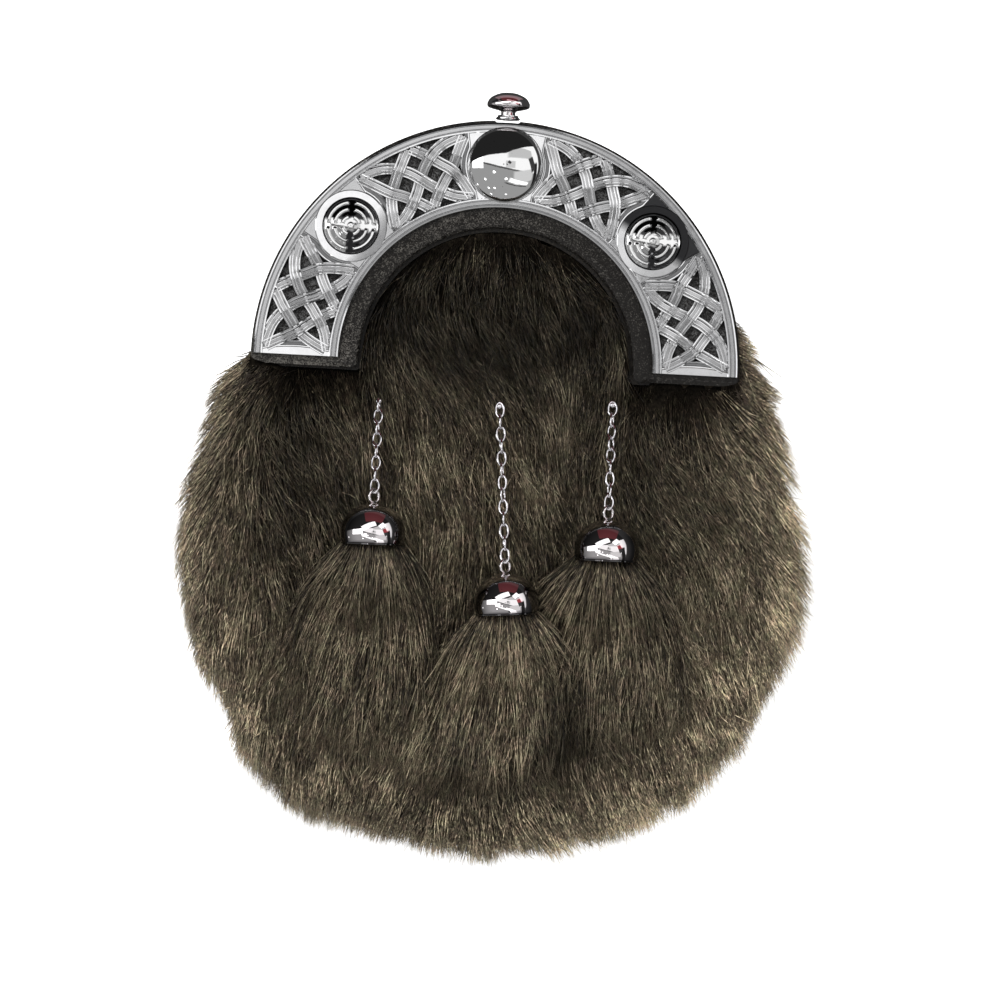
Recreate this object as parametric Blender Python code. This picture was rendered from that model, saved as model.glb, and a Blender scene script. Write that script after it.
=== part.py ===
# Full-dress sporran pouch lying on its back.
# Frame: +X to the wearer's front right as seen from the front, +Y up the pouch towards the knob,
# +Z out of the front. Origin on the flat resting patch of the leather back. Metres.
import math

import bmesh
import bpy
import numpy as np

for old in list(bpy.data.objects):
    bpy.data.objects.remove(old, do_unlink=True)

mm = 0.001

# ---- cantle, polar about (0, arch_y); angles from straight up
arch_y = 70 * mm
arc_outer = 76.4 * mm
arc_inner = 49.5 * mm
rail_outer = 73.3 * mm          # inner edge of the outer rail
rail_inner = 52.6 * mm          # outer edge of the inner rail
cantle_back = 30.9 * mm
plate_thick = 1.6 * mm
strand_width = 3.7 * mm
strand_mid = 0.55 * mm          # rise of a strand over the plate
strand_step = 0.30 * mm         # added where it passes over, taken off where it passes under
band_mid = 63.0 * mm
band_half = 10.7 * mm
foot_bar = 2.2 * mm
boss_angle = 49.0               # degrees from straight up
centre_field = 13.2 * mm
side_field = 12.4 * mm

# name, middle angle (degrees), half span (degrees), upper end's angle and field radius
panels = [
    dict(name="upper", mid=24.8, half=14.2, above=0.0, above_field=centre_field, above_gap=10.2,
         below=49.0, below_field=side_field, below_gap=9.8),
    dict(name="lower", mid=73.7, half=14.5, above=49.0, above_field=side_field, above_gap=9.8,
         below=None, below_field=0.0, below_gap=0.0),
]
# half of the strand that runs through the panel's middle: u along, v across, level over or under
through = [
    (0.00, 0.00, -1), (0.15, 0.28, 0), (0.31, 0.50, 1), (0.45, 0.66, 0),
    (0.62, 0.79, 0), (0.80, 0.87, 0), (1.00, 0.94, 0),
]
# half of the strand with a blunt elbow at the rail
elbow = [
    (0.00, -0.98, 0), (0.16, -0.73, 0), (0.31, -0.50, 1), (0.48, -0.24, 0),
    (0.66, 0.02, -1), (0.82, 0.40, 0), (0.99, 0.88, 0),
]

# ---- bosses
centre_boss_r = 12.0 * mm
centre_boss_h = 5.6 * mm
side_boss_r = 8.7 * mm
side_boss_h = 2.0 * mm
boss_gap = 0.3 * mm
# ring relief on the side bosses: inner and outer radius as a share of the boss, half gap in degrees
boss_rings = [(0.0, 0.17, 0.0), (0.28, 0.46, 16.0), (0.56, 0.74, 11.0), (0.86, 1.0, 0.0)]

# ---- knob and collar, turned about +Y at x = 0
knob_z = 29.6 * mm
knob_travel = 1.2 * mm
# radius, height over the arch's centre
knob_profile = [(0.0, 78.0), (2.2, 78.0), (2.3, 80.1), (3.4, 80.4), (6.1, 81.1), (6.75, 82.0),
                (6.5, 83.2), (5.2, 84.7), (3.0, 85.7), (0.0, 86.1)]
collar_profile = [(2.7, 77.5), (3.8, 77.5), (3.8, 78.1), (3.3, 78.3), (3.2, 78.8), (2.7, 78.8)]

# ---- leather
facing_outer = 77.2 * mm
facing_inner = 43.2 * mm
facing_low = -3.0 * mm
facing_back = 28.6 * mm
facing_thick = 2.0 * mm
notch_half = 3.2 * mm           # notch for the knob's stem
notch_depth = 1.0 * mm
# pouch outline below the arch: height over the arch's centre, half width
pouch_sides = [(0.0, 76.5), (-20.0, 79.5), (-42.0, 84.5), (-64.0, 86.5), (-86.0, 83.5),
               (-106.0, 74.5), (-122.0, 60.0), (-134.0, 41.0), (-141.0, 20.0), (-143.0, 0.0)]
pouch_top_r = 76.5 * mm
wall = 2.0 * mm
tub_rim = 26.0 * mm
back_upper = 6.8 * mm           # outer face of the back behind the cantle
back_turn = 8.0 * mm            # radius at the back's edge
front_back = 26.3 * mm
front_thick = 2.0 * mm
pouch_mid_y = -30.0 * mm        # centre that the pouch's rings shrink to

# ---- fur outline in the front view: x and height over the arch's centre
fur_edge = [(78.0, -3.4), (93.0, -6.0), (96.0, -25.0), (102.5, -47.0), (104.0, -68.0), (100.0, -86.0),
            (94.5, -97.0), (85.0, -116.0), (71.0, -132.0), (58.5, -141.0), (38.5, -151.0),
            (10.0, -157.0), (-12.6, -157.0), (-40.5, -149.5), (-57.0, -144.5), (-73.0, -128.5),
            (-84.0, -107.0), (-94.0, -90.0), (-98.9, -63.0), (-98.4, -43.0), (-93.0, -26.0),
            (-91.0, -11.0), (-78.0, -3.4)]
fur_centre_y = -50.0 * mm       # over the arch's centre
fur_rays = 30
fur_top = 36.0 * mm
fur_tip_z = 11.0 * mm           # tips hang over the wall
fur_back = 28.6 * mm

# ---- chains, bells and tassels; heights over the arch's centre
# chain's top and the height of its seat in the fur, bell's ring and the height of its axis,
# tassel's low end and half its spread there
hangs = [
    dict(side="left", top=(-35.8, -14.4), seat=33.9, bell=(-35.4, -43.2), axis=46.9, foot=(-46.0, -125.5), spread=19.0),
    dict(side="middle", top=(2.3, -14.1), seat=36.0, bell=(6.5, -62.9), axis=46.9, foot=(8.0, -136.5), spread=16.5),
    dict(side="right", top=(37.5, -10.6), seat=33.4, bell=(37.7, -44.6), axis=46.9, foot=(46.5, -120.5), spread=18.5),
]
link_length = 5.5 * mm
link_width = 3.9 * mm
link_wire = 0.88 * mm
link_pitch = 3.84 * mm
staple_h = 3.2 * mm             # height of a chain's upper end over its seat
staple_r = 1.5 * mm
bell_r = 10.0 * mm
bell_h = 13.0 * mm
bell_wall = 1.0 * mm
ring_r = 2.3 * mm
ring_wire = 0.5 * mm
lock_count = 6

# ---- strap keepers on the back
loop_x = 36.0 * mm
loop_y = 92.0 * mm
loop_width = 18.0 * mm
loop_half = 19.0 * mm
loop_slot_half = 10.5 * mm
loop_thick = 2.0 * mm


# ---------------------------------------------------------------- helpers
def material(name, colour, rough, metal):
    mat = bpy.data.materials.new(name)
    mat.use_nodes = True
    shader = mat.node_tree.nodes["Principled BSDF"]
    shader.inputs["Base Color"].default_value = (*colour, 1.0)
    shader.inputs["Roughness"].default_value = rough
    shader.inputs["Metallic"].default_value = metal
    return mat


def solid(name, points, faces, colour, rough=0.5, metal=0.0):
    """One closed mesh object with its faces turned outwards."""
    mesh = bpy.data.meshes.new(name)
    mesh.from_pydata([tuple(p) for p in points], [], [tuple(f) for f in faces])
    bm = bmesh.new()
    bm.from_mesh(mesh)
    bmesh.ops.remove_doubles(bm, verts=bm.verts, dist=1e-6)
    bmesh.ops.recalc_face_normals(bm, faces=bm.faces)
    bm.to_mesh(mesh)
    bm.free()
    mesh.materials.append(material(name, colour, rough, metal))
    obj = bpy.data.objects.new(name, mesh)
    bpy.context.collection.objects.link(obj)
    return obj


def boolean(base, tool, operation):
    """Cut or join with the exact solver, keep the result and drop the tool."""
    step = base.modifiers.new("join", "BOOLEAN")
    step.operation = operation
    step.solver = "EXACT"
    step.object = tool
    seen = base.evaluated_get(bpy.context.evaluated_depsgraph_get())
    mesh = bpy.data.meshes.new_from_object(seen)
    base.modifiers.remove(step)
    base.data = mesh
    while len(mesh.materials) > 1:
        mesh.materials.pop()
    bpy.data.objects.remove(tool, do_unlink=True)


def tidy(obj, dist=2e-6, flat=0.0):
    """Merge stray points and triangulate."""
    bm = bmesh.new()
    bm.from_mesh(obj.data)
    bmesh.ops.remove_doubles(bm, verts=bm.verts, dist=dist)
    bmesh.ops.dissolve_degenerate(bm, edges=bm.edges, dist=dist)
    if flat:
        bmesh.ops.dissolve_limit(bm, angle_limit=math.radians(flat), verts=bm.verts, edges=bm.edges)
    bmesh.ops.triangulate(bm, faces=bm.faces)
    bm.to_mesh(obj.data)
    bm.free()


def smooth(obj, degrees=35):
    obj.data.shade_smooth()
    obj.data.set_sharp_from_angle(angle=math.radians(degrees))


def rings_to_faces(rows, count, closed_ends=True):
    """Faces between stacked rings of the same count, with flat caps."""
    faces = []
    for r in range(rows - 1):
        for i in range(count):
            j = (i + 1) % count
            faces.append((r * count + i, r * count + j, (r + 1) * count + j, (r + 1) * count + i))
    if closed_ends:
        faces.append(tuple(range(count - 1, -1, -1)))
        faces.append(tuple((rows - 1) * count + i for i in range(count)))
    return faces


def prism(name, outline, low, high, colour=(0.5, 0.5, 0.5), rough=0.5, metal=0.0):
    count = len(outline)
    points = [(x, y, low) for x, y in outline] + [(x, y, high) for x, y in outline]
    return solid(name, points, rings_to_faces(2, count), colour, rough, metal)


def turned(name, profile, segments, place, colour, rough, metal, ring=False):
    """Body of revolution; profile is (radius, height), place maps radius, angle, height to a point."""
    points, rows = [], []
    for radius, height in profile:
        if radius < 1e-9:
            rows.append([len(points)] * segments)
            points.append(place(0.0, 0.0, height))
        else:
            rows.append(list(range(len(points), len(points) + segments)))
            points += [place(radius, 2 * math.pi * i / segments, height) for i in range(segments)]
    pairs = list(zip(rows, rows[1:])) + ([(rows[-1], rows[0])] if ring else [])
    faces = []
    for low, high in pairs:
        for i in range(segments):
            j = (i + 1) % segments
            face = []
            for index in (low[i], low[j], high[j], high[i]):
                if index not in face:
                    face.append(index)
            if len(face) > 2:
                faces.append(face)
    return solid(name, points, faces, colour, rough, metal)


def spline(points, steps):
    """Catmull-Rom through the points, any number of columns."""
    pts = np.array(points, float)
    pad = np.vstack([2 * pts[0] - pts[1], pts, 2 * pts[-1] - pts[-2]])
    out = []
    for i in range(1, len(pad) - 2):
        a, b, c, d = pad[i - 1:i + 3]
        for k in range(steps):
            t = k / steps
            out.append(0.5 * (2 * b + (c - a) * t + (2 * a - 5 * b + 4 * c - d) * t * t
                              + (3 * b - a - 3 * c + d) * t ** 3))
    out.append(pts[-1])
    return np.array(out)


def polar(radius, degrees, side=1):
    """Point of the arch at an angle from straight up; side -1 is the left."""
    a = math.radians(degrees)
    return side * radius * math.sin(a), arch_y + radius * math.cos(a)


# ---------------------------------------------------------------- cantle
chrome = (0.82, 0.82, 0.83)
leather = (0.018, 0.017, 0.017)
fur = (0.055, 0.040, 0.028)


def cover(radius, field):
    """Half angle, in degrees, that a disc on the band's middle covers at this radius."""
    c = (radius ** 2 + band_mid ** 2 - field ** 2) / (2 * radius * band_mid)
    return math.degrees(math.acos(min(1.0, c)))


def window(panel, side):
    """Outline of one pierced panel, with ends hollowed around the bosses."""
    radii = np.linspace(rail_inner, rail_outer, 5)
    above = [panel["above"] + max(panel["above_gap"], cover(r, panel["above_field"])) for r in radii]
    if panel["below"] is None:
        below = [math.degrees(math.acos(foot_bar / r)) for r in radii]
    else:
        below = [panel["below"] - max(panel["below_gap"], cover(r, panel["below_field"])) for r in radii]
    outline = [polar(r, a, side) for r, a in zip(radii, above)]
    outline += [polar(rail_outer, a, side) for a in np.linspace(above[-1], below[-1], 7)[1:-1]]
    outline += [polar(r, a, side) for r, a in zip(radii[::-1], below[::-1])]
    outline += [polar(rail_inner, a, side) for a in np.linspace(below[0], above[0], 7)[1:-1]]
    return outline


def ribbon(name, path, low):
    """Closed bar along a path of x, y, top height, mitred at its bends."""
    path = np.array(path)
    flat = path[:, :2]
    step = np.diff(flat, axis=0)
    step /= np.linalg.norm(step, axis=1)[:, None]
    before = np.vstack([step[:1], step])
    after = np.vstack([step, step[-1:]])
    along = before + after
    along /= np.linalg.norm(along, axis=1)[:, None]
    normal = np.stack([-along[:, 1], along[:, 0]], axis=1)
    half = 0.5 * strand_width / np.maximum(0.6, np.sum(along * after, axis=1))
    left = flat + normal * half[:, None]
    right = flat - normal * half[:, None]
    points = []
    for a, b, top in zip(left, right, path[:, 2]):
        points += [(a[0], a[1], low), (b[0], b[1], low), (b[0], b[1], top), (a[0], a[1], top)]
    return solid(name, points, rings_to_faces(len(path), 4), chrome)


def strand_paths(panel, side):
    """The four strands of a knot: two through the middle and two with an elbow."""
    half_through = np.array(through, float)
    half_elbow = np.array(elbow, float)
    full = np.vstack([-half_through[:0:-1], half_through])
    full[:len(through) - 1, 2] *= -1
    left = half_elbow[::-1] * (-1, 1, -1)
    bent = np.vstack([left[:-1], half_elbow])
    long = full
    paths = []
    for base in (long, bent):
        for flip in (1, -1):
            run = base * (1, flip, flip)
            sign = 1 if side < 0 else -1
            rows = []
            for u, v, level in run:
                x, y = polar(band_mid + v * band_half, panel["mid"] - u * panel["half"], side)
                top = cantle_back + plate_thick + strand_mid + sign * strand_step * max(-1, min(1, level))
                rows.append((x, y, top))
            paths.append(rows)
    return paths


def make_cantle():
    outline = [(x, y) for x, y in (polar(arc_outer, a) for a in np.linspace(-90, 90, 41))]
    outline += [polar(arc_inner, a) for a in np.linspace(90, -90, 31)]
    body = prism("cantle", outline, cantle_back, cantle_back + plate_thick, chrome, 0.12, 1.0)
    for low, high in ((arc_outer - 1.0 * mm, arc_outer - 0.25 * mm), (arc_inner + 0.25 * mm, arc_inner + 1.0 * mm)):
        edge = [polar(high, a) for a in np.linspace(-88.6, 88.6, 31)]
        edge += [polar(low, a) for a in np.linspace(88.6, -88.6, 31)]
        boolean(body, prism("rib", edge, cantle_back + 0.8 * mm, cantle_back + plate_thick + 0.35 * mm), "UNION")
    for panel in panels:
        for side in (-1, 1):
            tool = prism("window", window(panel, side), cantle_back - mm, cantle_back + 3 * mm)
            boolean(body, tool, "DIFFERENCE")
    number = 0
    for panel in panels:
        for side in (-1, 1):
            for path in strand_paths(panel, side):
                number += 1
                boolean(body, ribbon("strand", path, cantle_back + 0.02 * mm * (1 + number % 4)), "UNION")
    tidy(body, flat=0.4)
    smooth(body, 30)


# ---------------------------------------------------------------- bosses and knob
def make_bosses():
    front = cantle_back + plate_thick + boss_gap
    cx, cy = polar(band_mid, 0)
    steps = 5
    profile = [(0.0, 0.0), (centre_boss_r, 0.0), (centre_boss_r, 0.7 * mm)]
    for k in range(1, steps + 1):
        a = 0.5 * math.pi * k / steps
        profile.append((centre_boss_r * math.cos(a) * 0.985, 0.7 * mm + (centre_boss_h - 0.7 * mm) * math.sin(a)))
    profile[-1] = (0.0, centre_boss_h)
    dome = turned("centre_boss", profile, 20, lambda r, a, h: (cx + r * math.cos(a), cy + r * math.sin(a), front + h),
                  chrome, 0.05, 1.0)
    smooth(dome, 40)
    for name, side in (("boss_left", -1), ("boss_right", 1)):
        bx, by = polar(band_mid, boss_angle, side)
        turn = math.atan2(by - arch_y, bx)
        count = 16
        edges = [0.0, 0.16, 0.19, 0.29, 0.45, 0.48, 0.58, 0.73, 0.76, 0.87, 0.97, 1.0]
        points = [(bx, by, front), (bx, by, front + side_boss_h)]
        rows = []
        for share in edges[1:]:
            row = []
            for i in range(count):
                a = 2 * math.pi * i / count
                away = abs((math.degrees(a + turn) + 45) % 90 - 45)
                rise = 0.0
                for low, high, gap in boss_rings:
                    if low + 0.005 <= share <= high - 0.005 and away >= gap:
                        rise = 0.45 * mm
                height = 0.5 * mm + (side_boss_h - 0.5 * mm) * (1 - share ** 2) + rise * (1 if share < 0.98 else 0)
                row.append(len(points))
                points.append((bx + side_boss_r * share * math.cos(a + turn),
                               by + side_boss_r * share * math.sin(a + turn), front + height))
            rows.append(row)
        low_row = []
        for i in range(count):
            a = 2 * math.pi * i / count
            low_row.append(len(points))
            points.append((bx + side_boss_r * math.cos(a + turn), by + side_boss_r * math.sin(a + turn), front))
        rows.append(low_row)
        faces = []
        for i in range(count):
            j = (i + 1) % count
            faces.append((1, rows[0][i], rows[0][j]))
            faces.append((0, low_row[j], low_row[i]))
            for a, b in zip(rows, rows[1:]):
                faces.append((a[i], b[i], b[j], a[j]))
        smooth(solid(name, points, faces, chrome, 0.15, 1.0), 30)


def make_knob():
    def place(r, a, h):
        return r * math.cos(a), h, knob_z + r * math.sin(a)
    scaled = [(r * mm, arch_y + h * mm) for r, h in knob_profile]
    smooth(turned("clasp_knob", scaled, 14, place, chrome, 0.08, 1.0), 40)
    scaled = [(r * mm, arch_y + h * mm) for r, h in collar_profile]
    smooth(turned("knob_collar", scaled, 14, place, chrome, 0.12, 1.0, ring=True), 30)


# ---------------------------------------------------------------- leather pouch
def make_facing():
    lift = facing_low
    notch = math.degrees(math.asin(notch_half / facing_outer))
    outline = [(-facing_outer, arch_y + lift)]
    outline += [polar(facing_outer, a) for a in np.linspace(-90, -notch, 15)]
    outline += [(-notch_half, arch_y + facing_outer - notch_depth), (notch_half, arch_y + facing_outer - notch_depth)]
    outline += [polar(facing_outer, a) for a in np.linspace(notch, 90, 15)]
    outline += [(facing_outer, arch_y + lift), (facing_inner, arch_y + lift)]
    outline += [polar(facing_inner, a) for a in np.linspace(90, -90, 25)]
    outline += [(-facing_inner, arch_y + lift)]
    prism("facing", outline, facing_back, facing_back + facing_thick, leather, 0.45)


def pouch_outline(count=48):
    """Closed outline, evenly spaced by angle about the pouch's middle."""
    top = [polar(pouch_top_r, a) for a in np.linspace(-90, 90, 60)]
    right = [(w * mm, arch_y + h * mm) for h, w in pouch_sides]
    curve = spline(right, 8)
    low = [tuple(p) for p in curve[1:]] + [(-p[0], p[1]) for p in curve[::-1][1:-1]]
    ring = np.array(top + low)
    mid = np.array([0.0, arch_y + pouch_mid_y])
    angle = np.unwrap(np.arctan2(ring[:, 1] - mid[1], ring[:, 0] - mid[0]))
    reach = np.linalg.norm(ring - mid, axis=1)
    order = np.argsort(angle)
    want = np.linspace(0, 2 * math.pi, count, endpoint=False)
    base = angle[order] % (2 * math.pi)
    order = order[np.argsort(base)]
    base = np.sort(base)
    r = np.interp(want, base, reach[order], period=2 * math.pi)
    return mid, want, r


def back_height(y):
    """Outer face of the back: flat on the floor low down, stepped in behind the cantle."""
    t = min(1.0, max(0.0, (y - (arch_y - 42 * mm)) / (34 * mm)))
    return back_upper * t * t * (3 - 2 * t)


def make_pouch():
    count = 36
    mid, want, reach = pouch_outline(count)
    # rings from the rim round the back's edge to the middle
    steps = 3
    points, rows = [], []

    def ring(inset, shrink, height):
        row = []
        for a, r in zip(want, reach):
            q = (r - inset) * shrink
            x, y = mid[0] + q * math.cos(a), mid[1] + q * math.sin(a)
            row.append(len(points))
            points.append((x, y, height(y)))
        rows.append(row)

    ring(0.0, 1.0, lambda y: tub_rim)
    for k in range(steps + 1):
        a = 0.5 * math.pi * k / steps
        ring(back_turn * (1 - math.cos(a)), 1.0, lambda y, a=a: back_height(y) + back_turn * (1 - math.sin(a)))
    for share in (0.8, 0.6, 0.35):
        ring(back_turn, share, back_height)
    points.append((mid[0], mid[1], back_height(mid[1])))
    outer_mid = len(points) - 1
    outer = rows
    rows = []
    ring(wall, 1.0, lambda y: tub_rim)
    inner_turn = back_turn - wall
    for k in range(steps + 1):
        a = 0.5 * math.pi * k / steps
        ring(wall + inner_turn * (1 - math.cos(a)), 1.0,
             lambda y, a=a: back_height(y) + wall + inner_turn * (1 - math.sin(a)))
    for share in (0.8, 0.6, 0.35):
        ring(back_turn, share, lambda y: back_height(y) + wall)
    points.append((mid[0], mid[1], back_height(mid[1]) + wall))
    inner_mid = len(points) - 1
    inner = rows
    faces = []
    for i in range(count):
        j = (i + 1) % count
        for a, b in zip(outer, outer[1:]):
            faces.append((a[i], a[j], b[j], b[i]))
        for a, b in zip(inner, inner[1:]):
            faces.append((a[j], a[i], b[i], b[j]))
        faces.append((outer[-1][i], outer[-1][j], outer_mid))
        faces.append((inner[-1][j], inner[-1][i], inner_mid))
        faces.append((outer[0][j], outer[0][i], inner[0][i], inner[0][j]))
    smooth(solid("pouch_back", points, faces, leather, 0.5), 40)

    outline = [(mid[0] + r * math.cos(a), mid[1] + r * math.sin(a)) for a, r in zip(want, reach)]
    prism("pouch_front", outline, front_back, front_back + front_thick, leather, 0.5)


def make_loops():
    """Bowed leather keepers; the strap runs through along X."""
    tab = back_upper - 0.3 * mm
    profile = [(-loop_half, tab), (-loop_half, tab - loop_thick), (-loop_slot_half - 3.0 * mm, tab - loop_thick),
               (-loop_slot_half - 0.5 * mm, 0.0), (loop_slot_half + 0.5 * mm, 0.0),
               (loop_slot_half + 3.0 * mm, tab - loop_thick), (loop_half, tab - loop_thick), (loop_half, tab),
               (loop_slot_half + 2.0 * mm, tab), (loop_slot_half, loop_thick), (-loop_slot_half, loop_thick),
               (-loop_slot_half - 2.0 * mm, tab)]
    for name, side in (("strap_loop_left", -1), ("strap_loop_right", 1)):
        cx = side * loop_x
        points = [(cx - loop_width / 2, loop_y + y, z) for y, z in profile]
        points += [(cx + loop_width / 2, loop_y + y, z) for y, z in profile]
        solid(name, points, rings_to_faces(2, len(profile)), leather, 0.5)


# ---------------------------------------------------------------- fur
def make_pelt():
    """Locks over a backing: rings about the fur's middle, ridged, with long and short tips."""
    centre = np.array([0.0, arch_y + fur_centre_y])
    edge = spline([(x * mm, arch_y + y * mm) for x, y in fur_edge], 4)
    limit = facing_inner - 0.4 * mm
    step = arch_y + facing_low - 0.4 * mm
    shoulder = [(-limit, step), (-limit, arch_y)]
    arch = shoulder + [polar(limit, a) for a in np.linspace(-88, 88, 24)] + [(limit, arch_y), (limit, step)]
    loop = np.array([tuple(p) for p in edge] + arch)
    nxt = np.roll(loop, -1, axis=0)
    mid, want, pouch_reach = pouch_outline(180)

    def hit(poly, follow, origin, a):
        d = np.array([math.cos(a), math.sin(a)])
        p, q = poly - origin, follow - origin
        cp = p[:, 0] * d[1] - p[:, 1] * d[0]
        cq = q[:, 0] * d[1] - q[:, 1] * d[0]
        best = 0.0
        for k in np.where(cp * cq <= 0)[0]:
            t = cp[k] / (cp[k] - cq[k] + 1e-18)
            s = float(np.dot(p[k] + (q[k] - p[k]) * t, d))
            if s > best:
                best = s
        return best

    outline = np.stack([mid[0] + pouch_reach * np.cos(want), mid[1] + pouch_reach * np.sin(want)], axis=1)
    outline_next = np.roll(outline, -1, axis=0)
    count = fur_rays * 2
    angles = [2 * math.pi * i / count for i in range(count)]
    # rays through the corners of the outline
    for x, y in ((limit, step), (-limit, step), (78 * mm, step), (-78 * mm, step)):
        turn = math.atan2(y - centre[1], x - centre[0]) % (2 * math.pi)
        near = min(range(count), key=lambda i: abs(angles[i] - turn))
        angles[near] = turn
    tips, walls, free = [], [], []
    for i, a in enumerate(angles):
        reach = hit(loop, nxt, centre, a)
        body = hit(outline, outline_next, centre, a)
        end = centre[1] + reach * math.sin(a)
        hanging = end < step - 0.1 * mm and reach > body
        tips.append(reach * (1.0 if i % 2 == 0 or not hanging else 0.955))
        walls.append(body + 0.6 * mm)
        free.append(hanging)
    # share of the way to the wall, then share of the way from the wall to the tip, and the height
    tops = [(0.3, 0.0, 36.0), (0.6, 0.0, 35.6), (0.84, 0.0, 34.0), (1.0, 0.12, 31.0), (1.0, 0.6, 22.0), (1.0, 1.0, 11.0)]
    points = [(centre[0], centre[1], fur_top), (centre[0], centre[1], fur_back)]
    rows = []
    for number, (near, far, height) in enumerate(tops):
        row = []
        for i, a in enumerate(angles):
            ridge = (0.7 if i % 2 == 0 else -0.7) * mm
            if free[i]:
                q = walls[i] * near + (tips[i] - walls[i]) * far
                z = height * mm + ridge * (1 - far)
            else:
                share = (number + 1) / len(tops)
                q = tips[i] * share
                z = fur_top - (fur_top - fur_back - 2.6 * mm) * share ** 2 + ridge * (1 - share)
            row.append(len(points))
            points.append((centre[0] + q * math.cos(a), centre[1] + q * math.sin(a), z))
        rows.append(row)
    under = []
    for kind in (0, 1, 2):
        row = []
        for i, a in enumerate(angles):
            if free[i]:
                q, z = ((walls[i] + 0.35 * (tips[i] - walls[i]), fur_tip_z + 1.5 * mm),
                        (walls[i], fur_back - 9.0 * mm), (walls[i], fur_back))[kind]
            else:
                inward = (1.0, 0.997, 0.993) if abs(tips[i] * math.cos(a)) > 77 * mm else (1.0, 0.9, 0.8)
                q, z = tips[i] * inward[kind], fur_back
            row.append(len(points))
            points.append((centre[0] + q * math.cos(a), centre[1] + q * math.sin(a), z))
        under.append(row)
    faces = []
    chain = rows + under
    for i in range(count):
        j = (i + 1) % count
        faces.append((0, rows[0][i], rows[0][j]))
        for a, b in zip(chain, chain[1:]):
            faces.append((a[i], b[i], b[j], a[j]))
        faces.append((1, under[-1][j], under[-1][i]))
    body = solid("fur_pelt", points, faces, fur, 0.9)
    tidy(body)
    smooth(body, 40)


def link(centre, along, across, out, length, width, wire, segments=8, sides=5):
    """Closed oval wire link as points and faces."""
    points, faces = [], []
    half_l, half_w = (length - wire) / 2, (width - wire) / 2
    straight = half_l - half_w
    for i in range(segments):
        a = 2 * math.pi * (i + 0.5) / segments
        lx = half_w * math.cos(a) + math.copysign(straight, math.cos(a))
        ly = half_w * math.sin(a)
        for k in range(sides):
            b = 2 * math.pi * k / sides
            px = lx + 0.5 * wire * math.cos(b) * math.cos(a)
            py = ly + 0.5 * wire * math.cos(b) * math.sin(a)
            pz = 0.5 * wire * math.sin(b)
            points.append(centre + along * px + across * py + out * pz)
    for i in range(segments):
        for k in range(sides):
            j, m = (i + 1) % segments, (k + 1) % sides
            faces.append((i * sides + k, j * sides + k, j * sides + m, i * sides + m))
    return points, faces


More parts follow.
